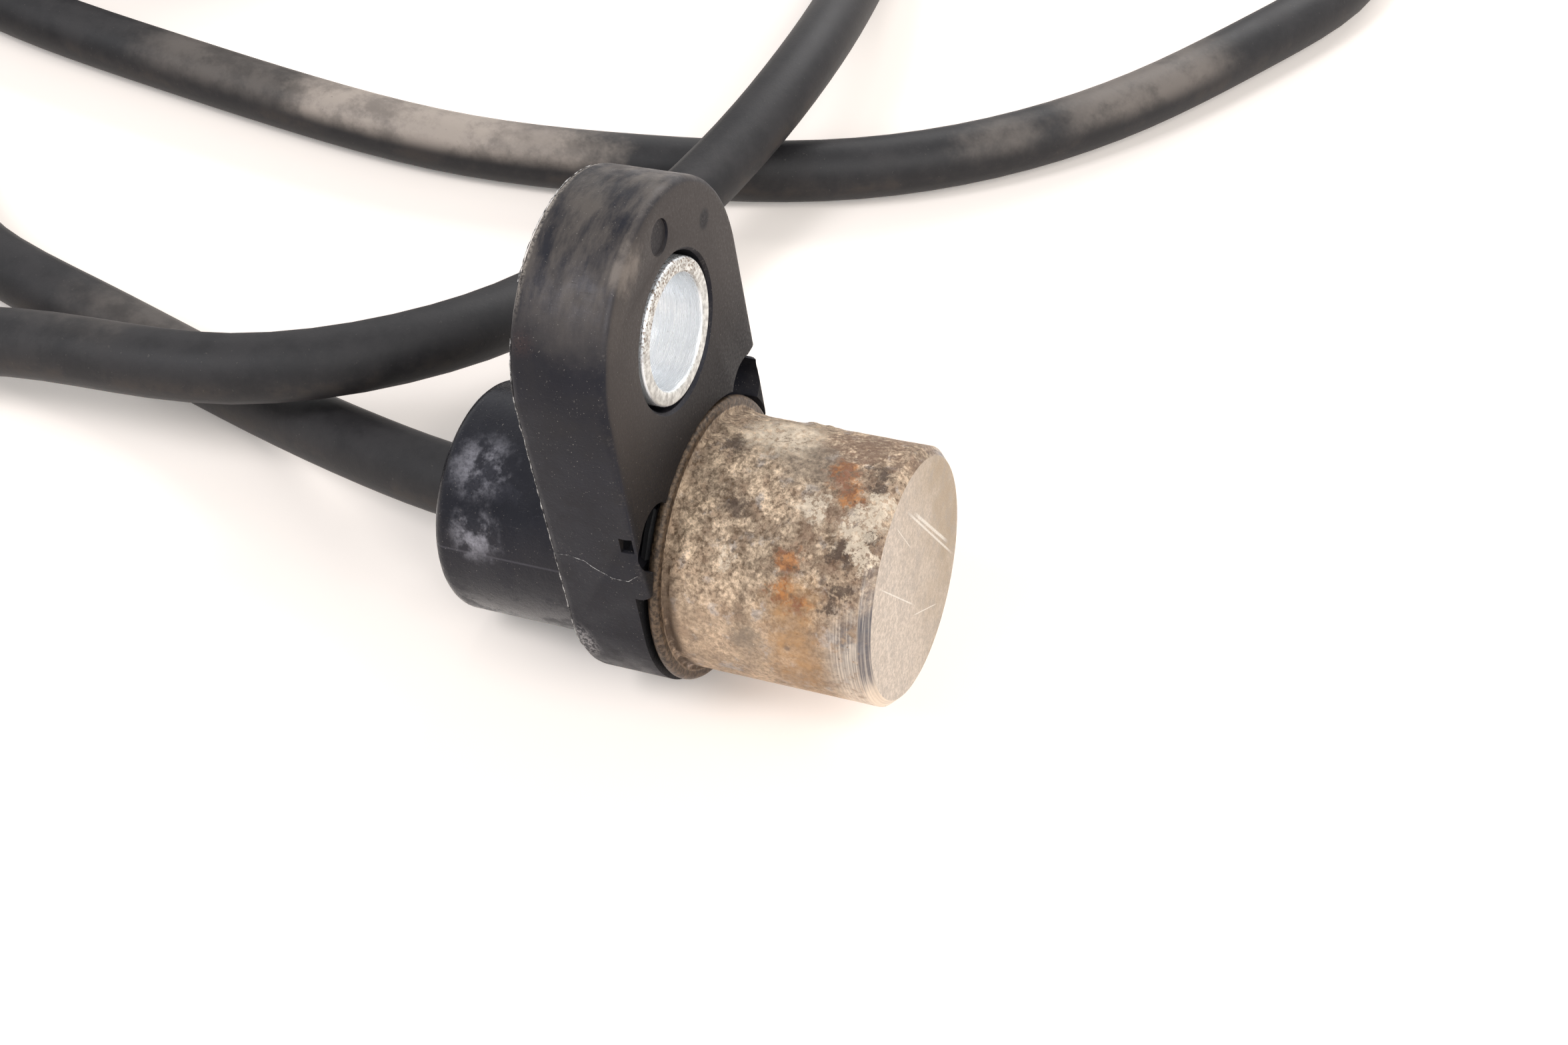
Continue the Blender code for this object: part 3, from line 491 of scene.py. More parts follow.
    def scratch(self, point, direction, reach, width):
        """One along a straight line of that reach each way from the point."""
        away = self.vector("SUBTRACT", self.place, point)
        along = self.math("ABSOLUTE", self.vector("DOT_PRODUCT", away, direction, "Value"))
        off = self.vector("LENGTH", self.vector("CROSS_PRODUCT", away, direction), output="Value")
        close = self.fall(off, width * 0.4, width)
        inside = self.fall(along, reach * 0.6, reach)
        return self.math("MULTIPLY", close, inside)

    def set(self, **values):
        for key, value in values.items():
            self.put(self.shader.inputs[key.replace("_", " ")], value)

    def times(self, *values):
        product = values[0]
        for value in values[1:]:
            product = self.math("MULTIPLY", product, value)
        return product


# Painted highlights on the boss, in the sensor's own millimetres: place, radius and width of the edge
BOSS_PAINTED_HIGHLIGHTS = (
    ((-13.2, -3.8, 6.4), 0.7, 1.9),
    ((-13.0, -6.7, 3.4), 0.5, 1.7),
)


def nylon(name):
    """Moulded nylon: satin black, browner and duller on its front, dusty and worn along its edges, with
    painted highlights on the boss.
    """
    look = Look(name)
    broad = look.noise(0.16, 3.0, 0.6)
    patchy = look.noise(0.55, 5.0, 0.62, offset=(7, 3, 1))
    fine = look.noise(5.0, 6.0, 0.65)
    specks = look.noise(8.0, 2.0, 0.5, offset=(2, 9, 4))
    front = look.step(look.nx, 0.80, 0.97)
    boss = look.fall(look.x, -6.6, -6.1)
    look.colour = look.mix(look.step(broad, 0.35, 0.65), (0.0055, 0.0055, 0.0085), (0.010, 0.010, 0.014))
    haze = look.times(look.step(patchy, 0.38, 0.78), look.blend(boss, 0.50, 0.15))
    look.coat((0.030, 0.027, 0.026), haze)
    low = look.step(look.z, 7.5, 18.0)
    front_colour = look.mix(low, (0.004, 0.0038, 0.004), (0.046, 0.039, 0.035))
    specked = look.times(look.step(fine, 0.5, 0.75), low, 0.4)
    front_colour = look.mix(specked, front_colour, (0.075, 0.064, 0.058))
    look.coat(front_colour, front)
    streaks = look.noise(0.5, 5.0, 0.65, stretch=(1.6, 0.5, 0.5), offset=(1, 1, 6))
    top = look.times(look.step(look.nz, 0.30, 0.95), look.step(look.z, 19.0, 24.0))
    top = look.times(top, look.step(streaks, 0.34, 0.66))
    look.coat((0.135, 0.115, 0.098), top, 0.65)
    rear = look.times(look.step(look.nx, -0.10, -0.45), look.step(look.nx, -0.97, -0.85))
    rear = look.times(rear, look.step(look.x, -7.0, -6.5))
    pale = look.times(rear, look.step(look.z, 21.5, 24.5), look.step(fine, 0.36, 0.58))
    look.coat((0.42, 0.37, 0.32), pale, 0.8)
    rim = look.times(look.step(look.nx, 0.12, 0.40), look.fall(look.nx, 0.80, 0.97))
    ragged = look.ragged(1.2, 2.0)
    worn = look.near((-0.2, -3.6, 24.4), 0.9, 1.3, place=ragged)
    worn = look.times(look.step(look.nx, 0.0, 0.35), worn, look.step(patchy, 0.36, 0.60, 0.3, 1.0))
    look.coat((0.33, 0.28, 0.24), worn, 0.45)
    # Painted highlights: pale lavender patches on the boss where a lamp's reflection falls
    painted_highlight = look.times(look.spots(BOSS_PAINTED_HIGHLIGHTS, ragged), boss, look.step(patchy, 0.40, 0.56, 0.05, 1.0))
    painted_highlight = look.times(painted_highlight, look.step(fine, 0.30, 0.60, 0.5, 1.0))
    look.coat((0.36, 0.35, 0.385), painted_highlight, 0.75)
    off_line = look.math("ABSOLUTE", look.math("SUBTRACT", look.z, 2.2))
    parting = look.times(look.fall(off_line, 0.03, 0.09), boss)
    look.coat((0.11, 0.105, 0.12), parting, 0.35)
    edge = look.times(rim, look.step(fine, 0.48, 0.70), look.step(patchy, 0.46, 0.62))
    look.coat((0.15, 0.135, 0.125), edge, 0.30)
    bloom = look.near((-2.0, -6.6, 23.0), 0.8, 3.2, place=ragged)
    look.coat((0.26, 0.225, 0.195), bloom, 0.16)
    nick = look.near((-0.3, -8.5, 20.9), 0.28, 0.25, fine)
    look.coat((0.62, 0.60, 0.58), nick, 0.9)
    dirt = look.near((-5.2, -8.6, 21.7), 0.7, 0.9, fine)
    look.coat((0.060, 0.038, 0.034), dirt, look.step(fine, 0.35, 0.6))
    scuff = look.near((-5.6, -8.7, -1.6), 0.7, 0.8, fine, (1, 1, 0.6))
    look.coat((0.40, 0.38, 0.38), scuff, look.step(fine, 0.44, 0.60), 0.7)
    mark = look.near((0, 5.4, 20.7), 0.42, 0.35, fine)
    look.coat((0.006, 0.006, 0.007), mark, front, 0.8)
    pressed = look.near((0.0, 0.2, 23.3), 0.95, 0.15)
    look.coat((0.010, 0.009, 0.010), pressed, 0.8)
    dots = look.step(specks, 0.69, 0.74)
    look.coat((0.22, 0.20, 0.18), dots, 0.6)
    look.set(Base_Color=look.colour)
    rough = look.blend(look.step(patchy, 0.35, 0.7), 0.36, 0.62)
    sheen = look.noise(0.42, 6.0, 0.7, offset=(4, 4, 9))
    rough = look.blend(boss, rough, look.blend(look.step(sheen, 0.46, 0.62), 0.16, 0.42))
    rough = look.blend(front, rough, look.blend(look.step(fine, 0.3, 0.7), 0.50, 0.70))
    look.set(Roughness=rough, Specular_IOR_Level=0.26, Specular_Tint=(0.86, 0.87, 1.0))
    look.bump(fine, 0.030, 0.45)
    look.bump(patchy, 0.12, 0.25)
    look.bump(look.times(sheen, boss), 0.10, 0.5)
    scratches = look.noise(3.0, 3.0, 0.7, stretch=(0.25, 1.0, 6.0), offset=(1, 5, 2))
    look.bump(look.step(scratches, 0.62, 0.70), 0.015, 0.35)
    return look.material


# Marks on the can, in its own coordinates in millimetres: place, radius and width of the edge
RUST_SPOTS = (
    ((9.4, -0.1, 8.0), 0.65, 0.7),
    ((10.2, -1.5, 7.8), 0.55, 0.6),
    ((7.8, -5.6, 5.7), 0.40, 0.8),
    ((7.5, -6.7, 4.3), 0.40, 0.6),
    ((8.7, -7.1, 3.6), 0.30, 0.6),
)
DARK_PITS = (
    ((10.7, -5.0, 6.2), 0.40, 0.5),
    ((12.2, -3.9, 7.0), 0.25, 0.4),
    ((11.1, -6.3, 4.9), 0.30, 0.4),
    ((11.4, 0.3, 8.0), 0.30, 0.5),
    ((11.7, -0.9, 7.9), 0.25, 0.5),
    ((10.6, -6.9, 4.0), 0.25, 0.4),
    ((2.1, 0.6, 8.0), 0.35, 0.9),
    ((4.0, -3.7, 7.1), 0.30, 0.9),
)
PALE_CRUST = (
    ((11.8, -2.6, 7.6), 0.80, 0.5),
    ((12.3, -1.8, 7.8), 0.60, 0.4),
    ((11.3, -3.7, 7.1), 0.90, 0.5),
    ((12.2, -4.9, 6.3), 0.60, 0.4),
    ((8.3, -2.8, 7.5), 0.50, 0.7),
    ((3.8, -6.0, 5.3), 0.30, 0.4),
    ((4.5, 2.5, 7.6), 1.20, 2.0),
)


def steel_grain(look):
    """The can's noises, from the broadest to the finest."""
    return (
        look.noise(0.34, 5.0, 0.62, offset=(3, 1, 8)),
        look.noise(0.95, 8.0, 0.70, offset=(11, 4, 6)),
        look.noise(3.4, 6.0, 0.70, offset=(5, 2, 9)),
        look.noise(10.0, 4.0, 0.7),
    )


def corroded_steel(name):
    """Brown steel under a tan crust, with rust, pits, bare turned metal low near the can's end, and painted
    shade in the groove by the collar.
    """
    look = Look(name)
    warp = look.noise(0.55, 4.0, 0.6)
    blotch, crust, grit, fine = steel_grain(look)
    across = look.math("MULTIPLY", look.y, look.y)
    radius = look.math("SQRT", look.math("ADD", across, look.math("MULTIPLY", look.z, look.z)))
    ragged = look.ragged(1.0, 3.6)
    upper = look.step(look.z, 1.2, 5.6)
    brown = look.mix(look.step(blotch, 0.36, 0.62), (0.275, 0.185, 0.120), (0.46, 0.330, 0.225))
    tan = look.mix(look.step(grit, 0.35, 0.65), (0.46, 0.335, 0.225), (0.76, 0.585, 0.42))
    crusted = look.step(crust, 0.40, 0.58)
    colour_patch = look.step(look.noise(0.40, 4.0, 0.6, offset=(8, 8, 3)), 0.40, 0.62)
    look.colour = look.mix(look.times(crusted, look.blend(upper, 0.35, 0.9)), brown, tan)
    look.tone(look.blend(colour_patch, 0.80, 1.16))
    grey = look.times(look.step(look.noise(0.8, 5.0, 0.6, offset=(4, 7, 2)), 0.56, 0.68), 0.45)
    look.coat((0.46, 0.43, 0.42), grey)
    look.tone(look.blend(look.step(grit, 0.36, 0.62), look.blend(upper, 0.92, 0.72), 1.24))
    look.tone(look.blend(look.step(fine, 0.34, 0.64), look.blend(upper, 0.94, 0.84), 1.10))
    specked = look.times(look.step(grit, 0.50, 0.40), look.step(crust, 0.56, 0.42))
    specked = look.times(specked, look.blend(upper, 0.30, 0.85))
    look.coat((0.150, 0.088, 0.045), specked)
    clouds = look.noise(0.8, 6.0, 0.7, offset=(2, 2, 2))
    late = look.times(look.step(look.x, 6.0, 9.6), look.step(clouds, 0.40, 0.60))
    look.coat((0.215, 0.120, 0.072), late, upper, 0.55)
    slate = look.near((7.2, 0.2, 8.0), 1.0, 1.6, place=ragged)
    slate = look.most(slate, look.near((5.2, -8.0, 0.8), 0.4, 0.9, place=ragged))
    look.coat((0.20, 0.165, 0.130), slate, 0.5)
    brown_top = look.near((9.8, 3.0, 7.4), 1.8, 1.5, place=ragged)
    look.coat((0.250, 0.150, 0.095), brown_top, look.step(grit, 0.62, 0.40), 0.8)
    ochre = look.near((8.3, -7.9, 0.0), 0.6, 1.8, None, (1, 1, 0.35), ragged)
    ochre = look.most(ochre, look.near((8.2, -6.9, 3.4), 0.9, 1.5, place=ragged))
    look.coat((0.46, 0.245, 0.095), ochre, look.step(crust, 0.30, 0.62, 0.25, 0.75))
    rust = look.times(look.spots(RUST_SPOTS, ragged), look.step(grit, 0.36, 0.52))
    rusty = look.mix(look.step(crust, 0.4, 0.6), (0.22, 0.070, 0.025), (0.47, 0.185, 0.050))
    look.coat(rusty, rust, 0.85)
    pits = look.times(look.fall(look.cells(0.75, (1, 2, 3)), 0.06, 0.20), look.step(blotch, 0.46, 0.6), 0.7)
    pits = look.most(pits, look.times(look.spots(DARK_PITS, ragged), look.step(grit, 0.30, 0.50)))
    dotted = look.times(look.fall(look.cells(1.6, (6, 1, 2)), 0.05, 0.16), look.step(look.x, 7.5, 10.0), 0.8)
    pits = look.most(pits, look.times(dotted, look.step(blotch, 0.42, 0.55)))
    look.coat((0.075, 0.045, 0.032), pits, 0.85)
    turned = look.noise(1.0, 3.0, 0.6, stretch=(9.0, 0.12, 0.12))
    away = look.math("ADD", look.z, look.math("MULTIPLY", warp, 5.0))
    bare = look.times(look.step(look.x, 9.8, 11.6), look.fall(away, 4.2, 7.6), look.step(crust, 0.34, 0.52))
    strip = look.times(look.step(look.x, 12.22, 12.45), look.fall(away, 6.0, 9.5))
    bare = look.times(look.most(bare, strip), look.fall(pits, 0.0, 1.0))
    silver = look.mix(look.step(turned, 0.35, 0.65), (0.23, 0.225, 0.225), (0.66, 0.60, 0.53))
    silver = look.mix(look.step(look.z, -4.0, 1.0, 0.6, 0.0), silver, (0.86, 0.70, 0.53))
    slate_spot = look.near((11.6, -7.6, 2.6), 0.5, 0.6, place=ragged)
    slate_band = look.most(look.times(strip, look.step(look.z, -2.5, 0.0)), slate_spot)
    slate_band = look.times(slate_band, look.step(turned, 0.62, 0.42, 0.5, 1.0))
    silver = look.mix(slate_band, silver, (0.095, 0.105, 0.130))
    look.coat(silver, bare, 0.85)
    cream = look.times(look.spots(PALE_CRUST, ragged), look.fall(grit, 0.50, 0.57))
    flecks = look.times(look.fall(fine, 0.26, 0.32), look.blend(upper, 0.4, 0.8))
    low_specks = look.near((3.0, -8.0, -0.3), 1.4, 0.8, warp, (0.6, 1, 1))
    low_specks = look.times(low_specks, look.step(grit, 0.38, 0.32))
    cream = look.most(cream, flecks, low_specks)
    look.coat((0.90, 0.75, 0.58), cream, 0.9)
    # Painted shade: the can is darkened in the groove by the collar, most of all underneath
    wall = look.fall(radius, 8.25, 8.45)
    painted_groove_shade = look.times(look.fall(look.x, 0.35, 1.3), wall, look.step(look.z, 0.0, 7.0, 1.0, 0.35))
    look.coat((0.090, 0.056, 0.034), painted_groove_shade, look.step(crust, 0.25, 0.50))
    rim = look.times(look.step(radius, 8.25, 8.45), look.fall(look.x, 0.5, 0.8))
    rim_colour = look.mix(look.step(grit, 0.38, 0.62), (0.030, 0.019, 0.012), (0.135, 0.090, 0.056))
    look.coat(rim_colour, rim)
    look.set(Base_Color=look.colour)
    look.set(Metallic=look.most(look.times(bare, 0.75), look.times(rim, 0.4)))
    rough = look.blend(look.step(crust, 0.35, 0.65), 0.50, 0.85)
    rough = look.blend(bare, rough, 0.34)
    rough = look.blend(rim, rough, 0.42)
    look.set(Roughness=rough)
    height = look.math("ADD", look.times(crusted, 0.45), look.times(grit, 0.55))
    height = look.math("SUBTRACT", height, look.times(pits, 0.7))
    smoothly = look.times(look.blend(bare, 1.0, 0.12), look.blend(upper, 0.45, 1.0))
    smoothly = look.times(smoothly, look.blend(rim, 1.0, 0.25))
    look.bump(look.times(height, smoothly), 0.22, 0.8)
    look.bump(look.times(fine, smoothly), 0.04, 0.6)
    look.bump(look.times(turned, bare), 0.02, 0.6)
    return look.material


# Scratches on the can's end: middle, direction, reach each way and width
END_SCRATCHES = (
    ((13, 2.9, 1.0), (0, 0.537, -0.843), 6.0, 0.10),
    ((13, 3.1, 1.3), (0, 0.549, -0.836), 4.4, 0.14),
    ((13, -2.9, 1.3), (0, 0.60, -0.80), 3.9, 0.06),
    ((13, 0.8, -3.6), (0, 0.80, -0.60), 2.5, 0.05),
    ((13, -1.0, 4.4), (0, 0.45, -0.89), 2.0, 0.04),
)


def turned_end(name):
    """The can's flat end: grey-beige steel, stained on one side, with light scratches."""
    look = Look(name)
    blotch, crust, grit, fine = steel_grain(look)
    look.colour = look.mix(look.step(grit, 0.36, 0.64), (0.47, 0.395, 0.325), (0.70, 0.60, 0.51))
    stain = look.times(look.step(look.y, -4.0, 5.0), look.step(blotch, 0.22, 0.74, 0.30, 1.0))
    look.coat((0.355, 0.265, 0.170), stain, 0.85)
    look.coat((0.34, 0.30, 0.265), look.step(crust, 0.46, 0.66), 0.40)
    look.tone(look.blend(look.step(fine, 0.36, 0.62), 0.88, 1.08))
    look.coat((0.16, 0.125, 0.10), look.step(fine, 0.66, 0.72), 0.8)
    lines = look.most(*[look.scratch(*row) for row in END_SCRATCHES])
    look.coat((0.86, 0.80, 0.72), lines, look.step(fine, 0.3, 0.5), 0.75)
    look.set(Base_Color=look.colour, Metallic=0.25)
    look.set(Roughness=look.blend(look.step(grit, 0.3, 0.7), 0.46, 0.64))
    look.bump(fine, 0.012, 0.5)
    look.bump(crust, 0.03, 0.4)
    return look.material


def zinc(name):
    """Zinc-plated steel: bright, with turning lines round the bore, a painted highlight on the bore's wall,
    and a pale mottled end.
    """
    look = Look(name)
    mottle = look.noise(2.2, 6.0, 0.7)
    specks = look.noise(7.0, 3.0, 0.6, offset=(3, 6, 1))
    lines = look.noise(1.0, 4.0, 0.7, stretch=(14.0, 0.35, 0.35))
    end = look.step(look.math("ABSOLUTE", look.nx), 0.6, 0.9)
    look.colour = look.mix(look.step(lines, 0.35, 0.65), (0.80, 0.83, 0.86), (0.95, 0.97, 0.99))
    ring = look.mix(look.step(mottle, 0.35, 0.65), (0.46, 0.45, 0.43), (0.84, 0.84, 0.81))
    # A painted highlight: the bore's wall is made lighter where a lamp's reflection falls
    lit = look.near((-2.5, 2.2, 14.2), 1.0, 2.6)
    look.tone(look.blend(lit, 0.98, 1.08))
    look.coat(ring, end)
    mouth = look.times(look.step(look.x, -1.1, -0.1), look.step(look.z, 16.5, 19.5))
    mouth = look.times(mouth, look.step(specks, 0.50, 0.60))
    look.coat((0.16, 0.10, 0.06), mouth, 0.85)
    look.coat((0.20, 0.17, 0.14), look.step(specks, 0.66, 0.72), 0.6)
    look.set(Base_Color=look.colour, Metallic=look.blend(end, 0.60, 0.55))
    look.set(Roughness=look.blend(end, look.blend(lines, 0.18, 0.34), 0.52))
    look.bump(lines, 0.030, 0.7)
    look.bump(look.times(mottle, end), 0.05, 0.5)
    return look.material


# Dust on the lead: place, radius, width of the edge and amount
DUST_PATCHES = (
    ((-39.5, 33.5, 4.8), 6.5, 7.0, 0.90),
    ((-28.0, 34.5, 4.8), 2.5, 4.5, 0.65),
    ((-56.0, 33.5, 4.8), 4.0, 7.0, 0.20),
    ((12.5, 63.0, 4.8), 4.0, 7.0, 0.35),
    ((4.5, 51.0, 4.8), 1.5, 4.0, 0.22),
    ((-45.0, 5.0, 4.8), 3.0, 6.0, 0.16),
)


def lead_rubber(name):
    """The lead's black jacket, with grey dust in broad patches."""
    look = Look(name)
    broad = look.noise(0.045, 2.0, 0.5, offset=(4, 8, 1))
    patchy = look.noise(0.30, 6.0, 0.66)
    fine = look.noise(3.6, 5.0, 0.65)
    look.colour = look.mix(look.step(patchy, 0.35, 0.65), (0.012, 0.0112, 0.0125), (0.024, 0.0222, 0.0235))
    upward = look.step(look.nz, 0.25, 0.85)
    film = look.times(look.step(broad, 0.40, 0.68), look.step(patchy, 0.30, 0.75), upward)
    look.coat((0.105, 0.096, 0.090), film, 0.14)
    ragged = look.ragged(0.14, 9.0)
    chalk = look.most(
        *[look.times(look.near(*patch, place=ragged), amount) for *patch, amount in DUST_PATCHES]
    )
    chalk = look.times(chalk, look.step(patchy, 0.36, 0.60, 0.55, 1.0), look.step(look.nz, 0.15, 0.75))
    look.coat((0.44, 0.375, 0.325), chalk)
    look.coat((0.10, 0.088, 0.078), look.step(fine, 0.64, 0.72), 0.4)
    sides = look.fall(look.math("ABSOLUTE", look.nz), 0.0, 0.5)
    look.coat((0.050, 0.038, 0.030), sides, look.step(patchy, 0.45, 0.65), 0.45)
    look.set(Base_Color=look.colour, Roughness=look.blend(patchy, 0.40, 0.70), Specular_IOR_Level=0.33)
    look.bump(fine, 0.030, 0.5)
    look.bump(patchy, 0.06, 0.3)
    return look.material


def moulded(name, colour, rough=0.5, grain=4.0, dust=(0.10, 0.09, 0.08)):
    """Plain moulded plastic or rubber of a small piece, with a fine grain and a little dust."""
    look = Look(name)
    patchy = look.noise(0.5, 5.0, 0.6)
    fine = look.noise(grain, 5.0, 0.65)
    light = tuple(min(1.0, c * 1.35 + 0.004) for c in colour)
    shade = look.mix(look.step(patchy, 0.35, 0.65), colour, light)
    shade = look.mix(look.times(look.step(fine, 0.58, 0.72), 0.25), shade, dust)
    look.set(Base_Color=shade, Roughness=look.blend(fine, rough - 0.12, rough + 0.14))
    look.bump(fine, 0.03, 0.5)
    return look.material


def metal(name, dark, light, rough=0.3):
    """A small metal piece, with fine drawn lines and a slight stain."""
    look = Look(name)
    lines = look.noise(1.0, 4.0, 0.6, stretch=(0.4, 9.0, 9.0))
    patchy = look.noise(1.1, 5.0, 0.6)
    shade = look.mix(look.step(patchy, 0.35, 0.65), dark, light)
    look.set(Base_Color=shade, Metallic=1.0, Roughness=look.blend(lines, rough - 0.08, rough + 0.15))
    look.bump(lines, 0.01, 0.5)
    return look.material


def flash(name):
    """Torn, whitened nylon along the mould's parting line and a crack."""
    look = Look(name)
    fine = look.noise(2.4, 4.0, 0.7)
    torn = look.mix(look.step(fine, 0.40, 0.62), (0.035, 0.033, 0.035), (0.62, 0.60, 0.58))
    look.set(Base_Color=torn, Roughness=0.6)
    look.bump(fine, 0.03, 0.5)
    return look.material


def paint(obj, material):
    obj.data.materials.clear()
    obj.data.materials.append(material)


def link(name, data, material, replaced=()):
    """A piece of the sensor or its lead, which rides on its one body."""
    obj = add_object(name, data)
    obj.matrix_world = AXIS_TO_WORLD
    paint(obj, material)
    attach(obj, "root")
    if replaced:
        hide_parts(*replaced)
    return obj


def lathe(name, profile, steps, centre=(0.0, 0.0), closed=False):
    """A mesh turned about the X axis through the centre, from (distance, radius) points."""
    shape = bmesh.new()
    rows = []
    for x, radius in profile:
        if radius == 0:
            rows.append([shape.verts.new((x, *centre))] * steps)
            continue
        row = []
        for i in range(steps):
            angle = 2 * math.pi * i / steps
            y = centre[0] + radius * math.cos(angle)
            row.append(shape.verts.new((x, y, centre[1] + radius * math.sin(angle))))
        rows.append(row)
    pairs = list(zip(rows, rows[1:]))
    if closed:
        pairs.append((rows[-1], rows[0]))
    for a, b in pairs:
        for i in range(steps):
            j = (i + 1) % steps
            corners = []
            for v in (a[i], a[j], b[j], b[i]):
                if v not in corners:
                    corners.append(v)
            if len(corners) > 2:
                shape.faces.new(corners)
    bmesh.ops.recalc_face_normals(shape, faces=shape.faces)
    mesh = finished(name, shape)
    mesh.shade_smooth()
    return mesh


def block(name, low, high):
    """A box from the low corner to the high one."""
    shape = bmesh.new()
    bmesh.ops.create_cube(shape, size=1)
    size = [b - a for a, b in zip(low, high)]
    middle = [(a + b) / 2 for a, b in zip(low, high)]
    fitted = Matrix.Translation(middle) @ Matrix.Diagonal((*size, 1))
    bmesh.ops.transform(shape, matrix=fitted, verts=shape.verts)
    mesh = finished(name, shape)
    return mesh


# How far the ear's sides lean in towards its top
EAR_LEAN = math.asin((EAR_FOOT_RADIUS - EAR_TOP_RADIUS) / EAR_REACH)


def ear_outline(count=64):
    """The ear's outline in Y and Z: a foot round the nose, a head round the bush, and their tangents."""
    points = []
    for centre, radius, start, end in (
        (EAR_REACH, EAR_TOP_RADIUS, EAR_LEAN, math.pi - EAR_LEAN),
        (0.0, EAR_FOOT_RADIUS, math.pi - EAR_LEAN, 2 * math.pi + EAR_LEAN),
    ):
        for i in range(count + 1):
            angle = start + (end - start) * i / count
            points.append((radius * math.cos(angle), centre + radius * math.sin(angle)))
    return points


def carve(body, tools, operation):
    """Adds or takes away the tools' meshes, and keeps the result."""
    helpers = []
    for i, mesh in enumerate(tools):
        helper = add_object(f"tool_{i}", mesh)
        modifier = body.modifiers.new("cut", "BOOLEAN")
        modifier.operation = operation
        modifier.solver = "EXACT"
        modifier.object = helper
        helpers.append(helper)
    settle(body)
    for helper in helpers:
        bpy.data.objects.remove(helper)


def settle(obj):
    """Applies the object's modifiers."""
    bpy.context.view_layer.update()
    mesh = evaluated_mesh(obj)
    obj.modifiers.clear()
    obj.data = mesh


def heal(mesh):
    """Joins the doubled points and clears the faces without area that the cuts leave."""
    shape = bmesh.new()
    shape.from_mesh(mesh)
    bmesh.ops.remove_doubles(shape, verts=shape.verts, dist=HEAL_DISTANCE)
    bmesh.ops.dissolve_degenerate(shape, edges=shape.edges, dist=HEAL_DISTANCE)
    shape.to_mesh(mesh)
    shape.free()


def bevel(obj, width, segments, degrees):
    """Rounds the edges that are sharper than the angle, and keeps the result."""
    rounding = obj.modifiers.new("edge", "BEVEL")
    rounding.width = width
    rounding.segments = segments
    rounding.limit_method = "ANGLE"
    rounding.angle_limit = math.radians(degrees)
    settle(obj)


def make_ear():
    """The ear as a plate between its front and rear faces, with round edges."""
    shape = bmesh.new()
    face = shape.faces.new([shape.verts.new((0, y, z)) for y, z in ear_outline()])
    made = bmesh.ops.extrude_face_region(shape, geom=[face])
    corners = [v for v in made["geom"] if isinstance(v, bmesh.types.BMVert)]
    bmesh.ops.translate(shape, verts=corners, vec=(-EAR_THICKNESS, 0, 0))
    bmesh.ops.recalc_face_normals(shape, faces=shape.faces)
    mesh = finished("housing_body", shape)
    body = add_object("housing_body", mesh)
    bevel(body, EAR_EDGE, 4, 60)
    return body


def boss_profile():
    """The boss from inside the ear to its round rear rim."""
    profile = [(-EAR_THICKNESS / 2, 0.0), (-EAR_THICKNESS / 2, BOSS_RADIUS)]
    for i in range(7):
        angle = math.pi / 2 * i / 6
        radius = BOSS_RADIUS - BOSS_EDGE * (1 - math.cos(angle))
        profile.append((BOSS_END + BOSS_EDGE * (1 - math.sin(angle)), radius))
    return profile + [(BOSS_END, LEAD_RADIUS + 0.0007), (BOSS_END + 0.0004, 0.0)]


def housing_cuts():
    """What is taken out of the housing: seat, cavity, seal's seat, bush hole, pockets and marks."""
    seat = [(CUT_PAST, 0.0), (CUT_PAST, SEAT_RADIUS), (-SEAT_DEPTH, SEAT_RADIUS), (-SEAT_DEPTH, CAVITY_RADIUS)]
    seat += [(-CAVITY_DEPTH, CAVITY_RADIUS), (-CAVITY_DEPTH, SEAL_SEAT_RADIUS)]
    seat += [(-SEAL_SEAT_DEPTH, SEAL_SEAT_RADIUS), (-SEAL_SEAT_DEPTH, LEAD_HOLE)]
    mouth = BOSS_END - 0.0008
    seat += [(BOSS_END + 0.0003, LEAD_HOLE), (mouth, LEAD_RADIUS + 3 * GAP), (mouth, 0.0)]
    rear = -EAR_THICKNESS - CUT_PAST
    hole = [(CUT_PAST, 0.0), (CUT_PAST, BUSH_HOLE + 0.001), (-0.0002, BUSH_HOLE)]
    hole += [(rear, BUSH_HOLE), (rear, 0.0)]
    mark = [(CUT_PAST, 0.0), (CUT_PAST, MARK_RADII[0]), (-MARK_DEPTH, MARK_RADII[1]), (-MARK_DEPTH, 0.0)]
    tools = [
        lathe("seat", seat, 128),
        lathe("hole", hole, 96, (0, EAR_REACH)),
        lathe("mark", mark, 40, MARK_CENTRE),
    ]
    pocket = [(CUT_PAST, 0.0), (CUT_PAST, POCKET_RADIUS), (-POCKET_DEPTH, POCKET_RADIUS), (-POCKET_DEPTH, 0.0)]
    for side in (-1, 1):
        tools.append(lathe("pocket", pocket, 48, (side * POCKET_SIDE, POCKET_HEIGHT)))
    return tools + [block(*corners) for corners in BLOCKS]


def make_housing(material):
    """The moulded ear and boss, with the seat, pockets and marks that the photograph shows."""
    body = make_ear()
    carve(body, [lathe("boss", boss_profile(), 128)], "UNION")
    carve(body, housing_cuts(), "DIFFERENCE")
    bevel(body, EDGE_SOFTENING, 2, 50)
    mesh = body.data
    bpy.data.objects.remove(body)
    mesh.name = "housing_body"
    heal(mesh)
    mesh.shade_smooth()
    mesh.set_sharp_from_angle(angle=math.radians(35))
    return link("housing_body", mesh, material, ["housing"])


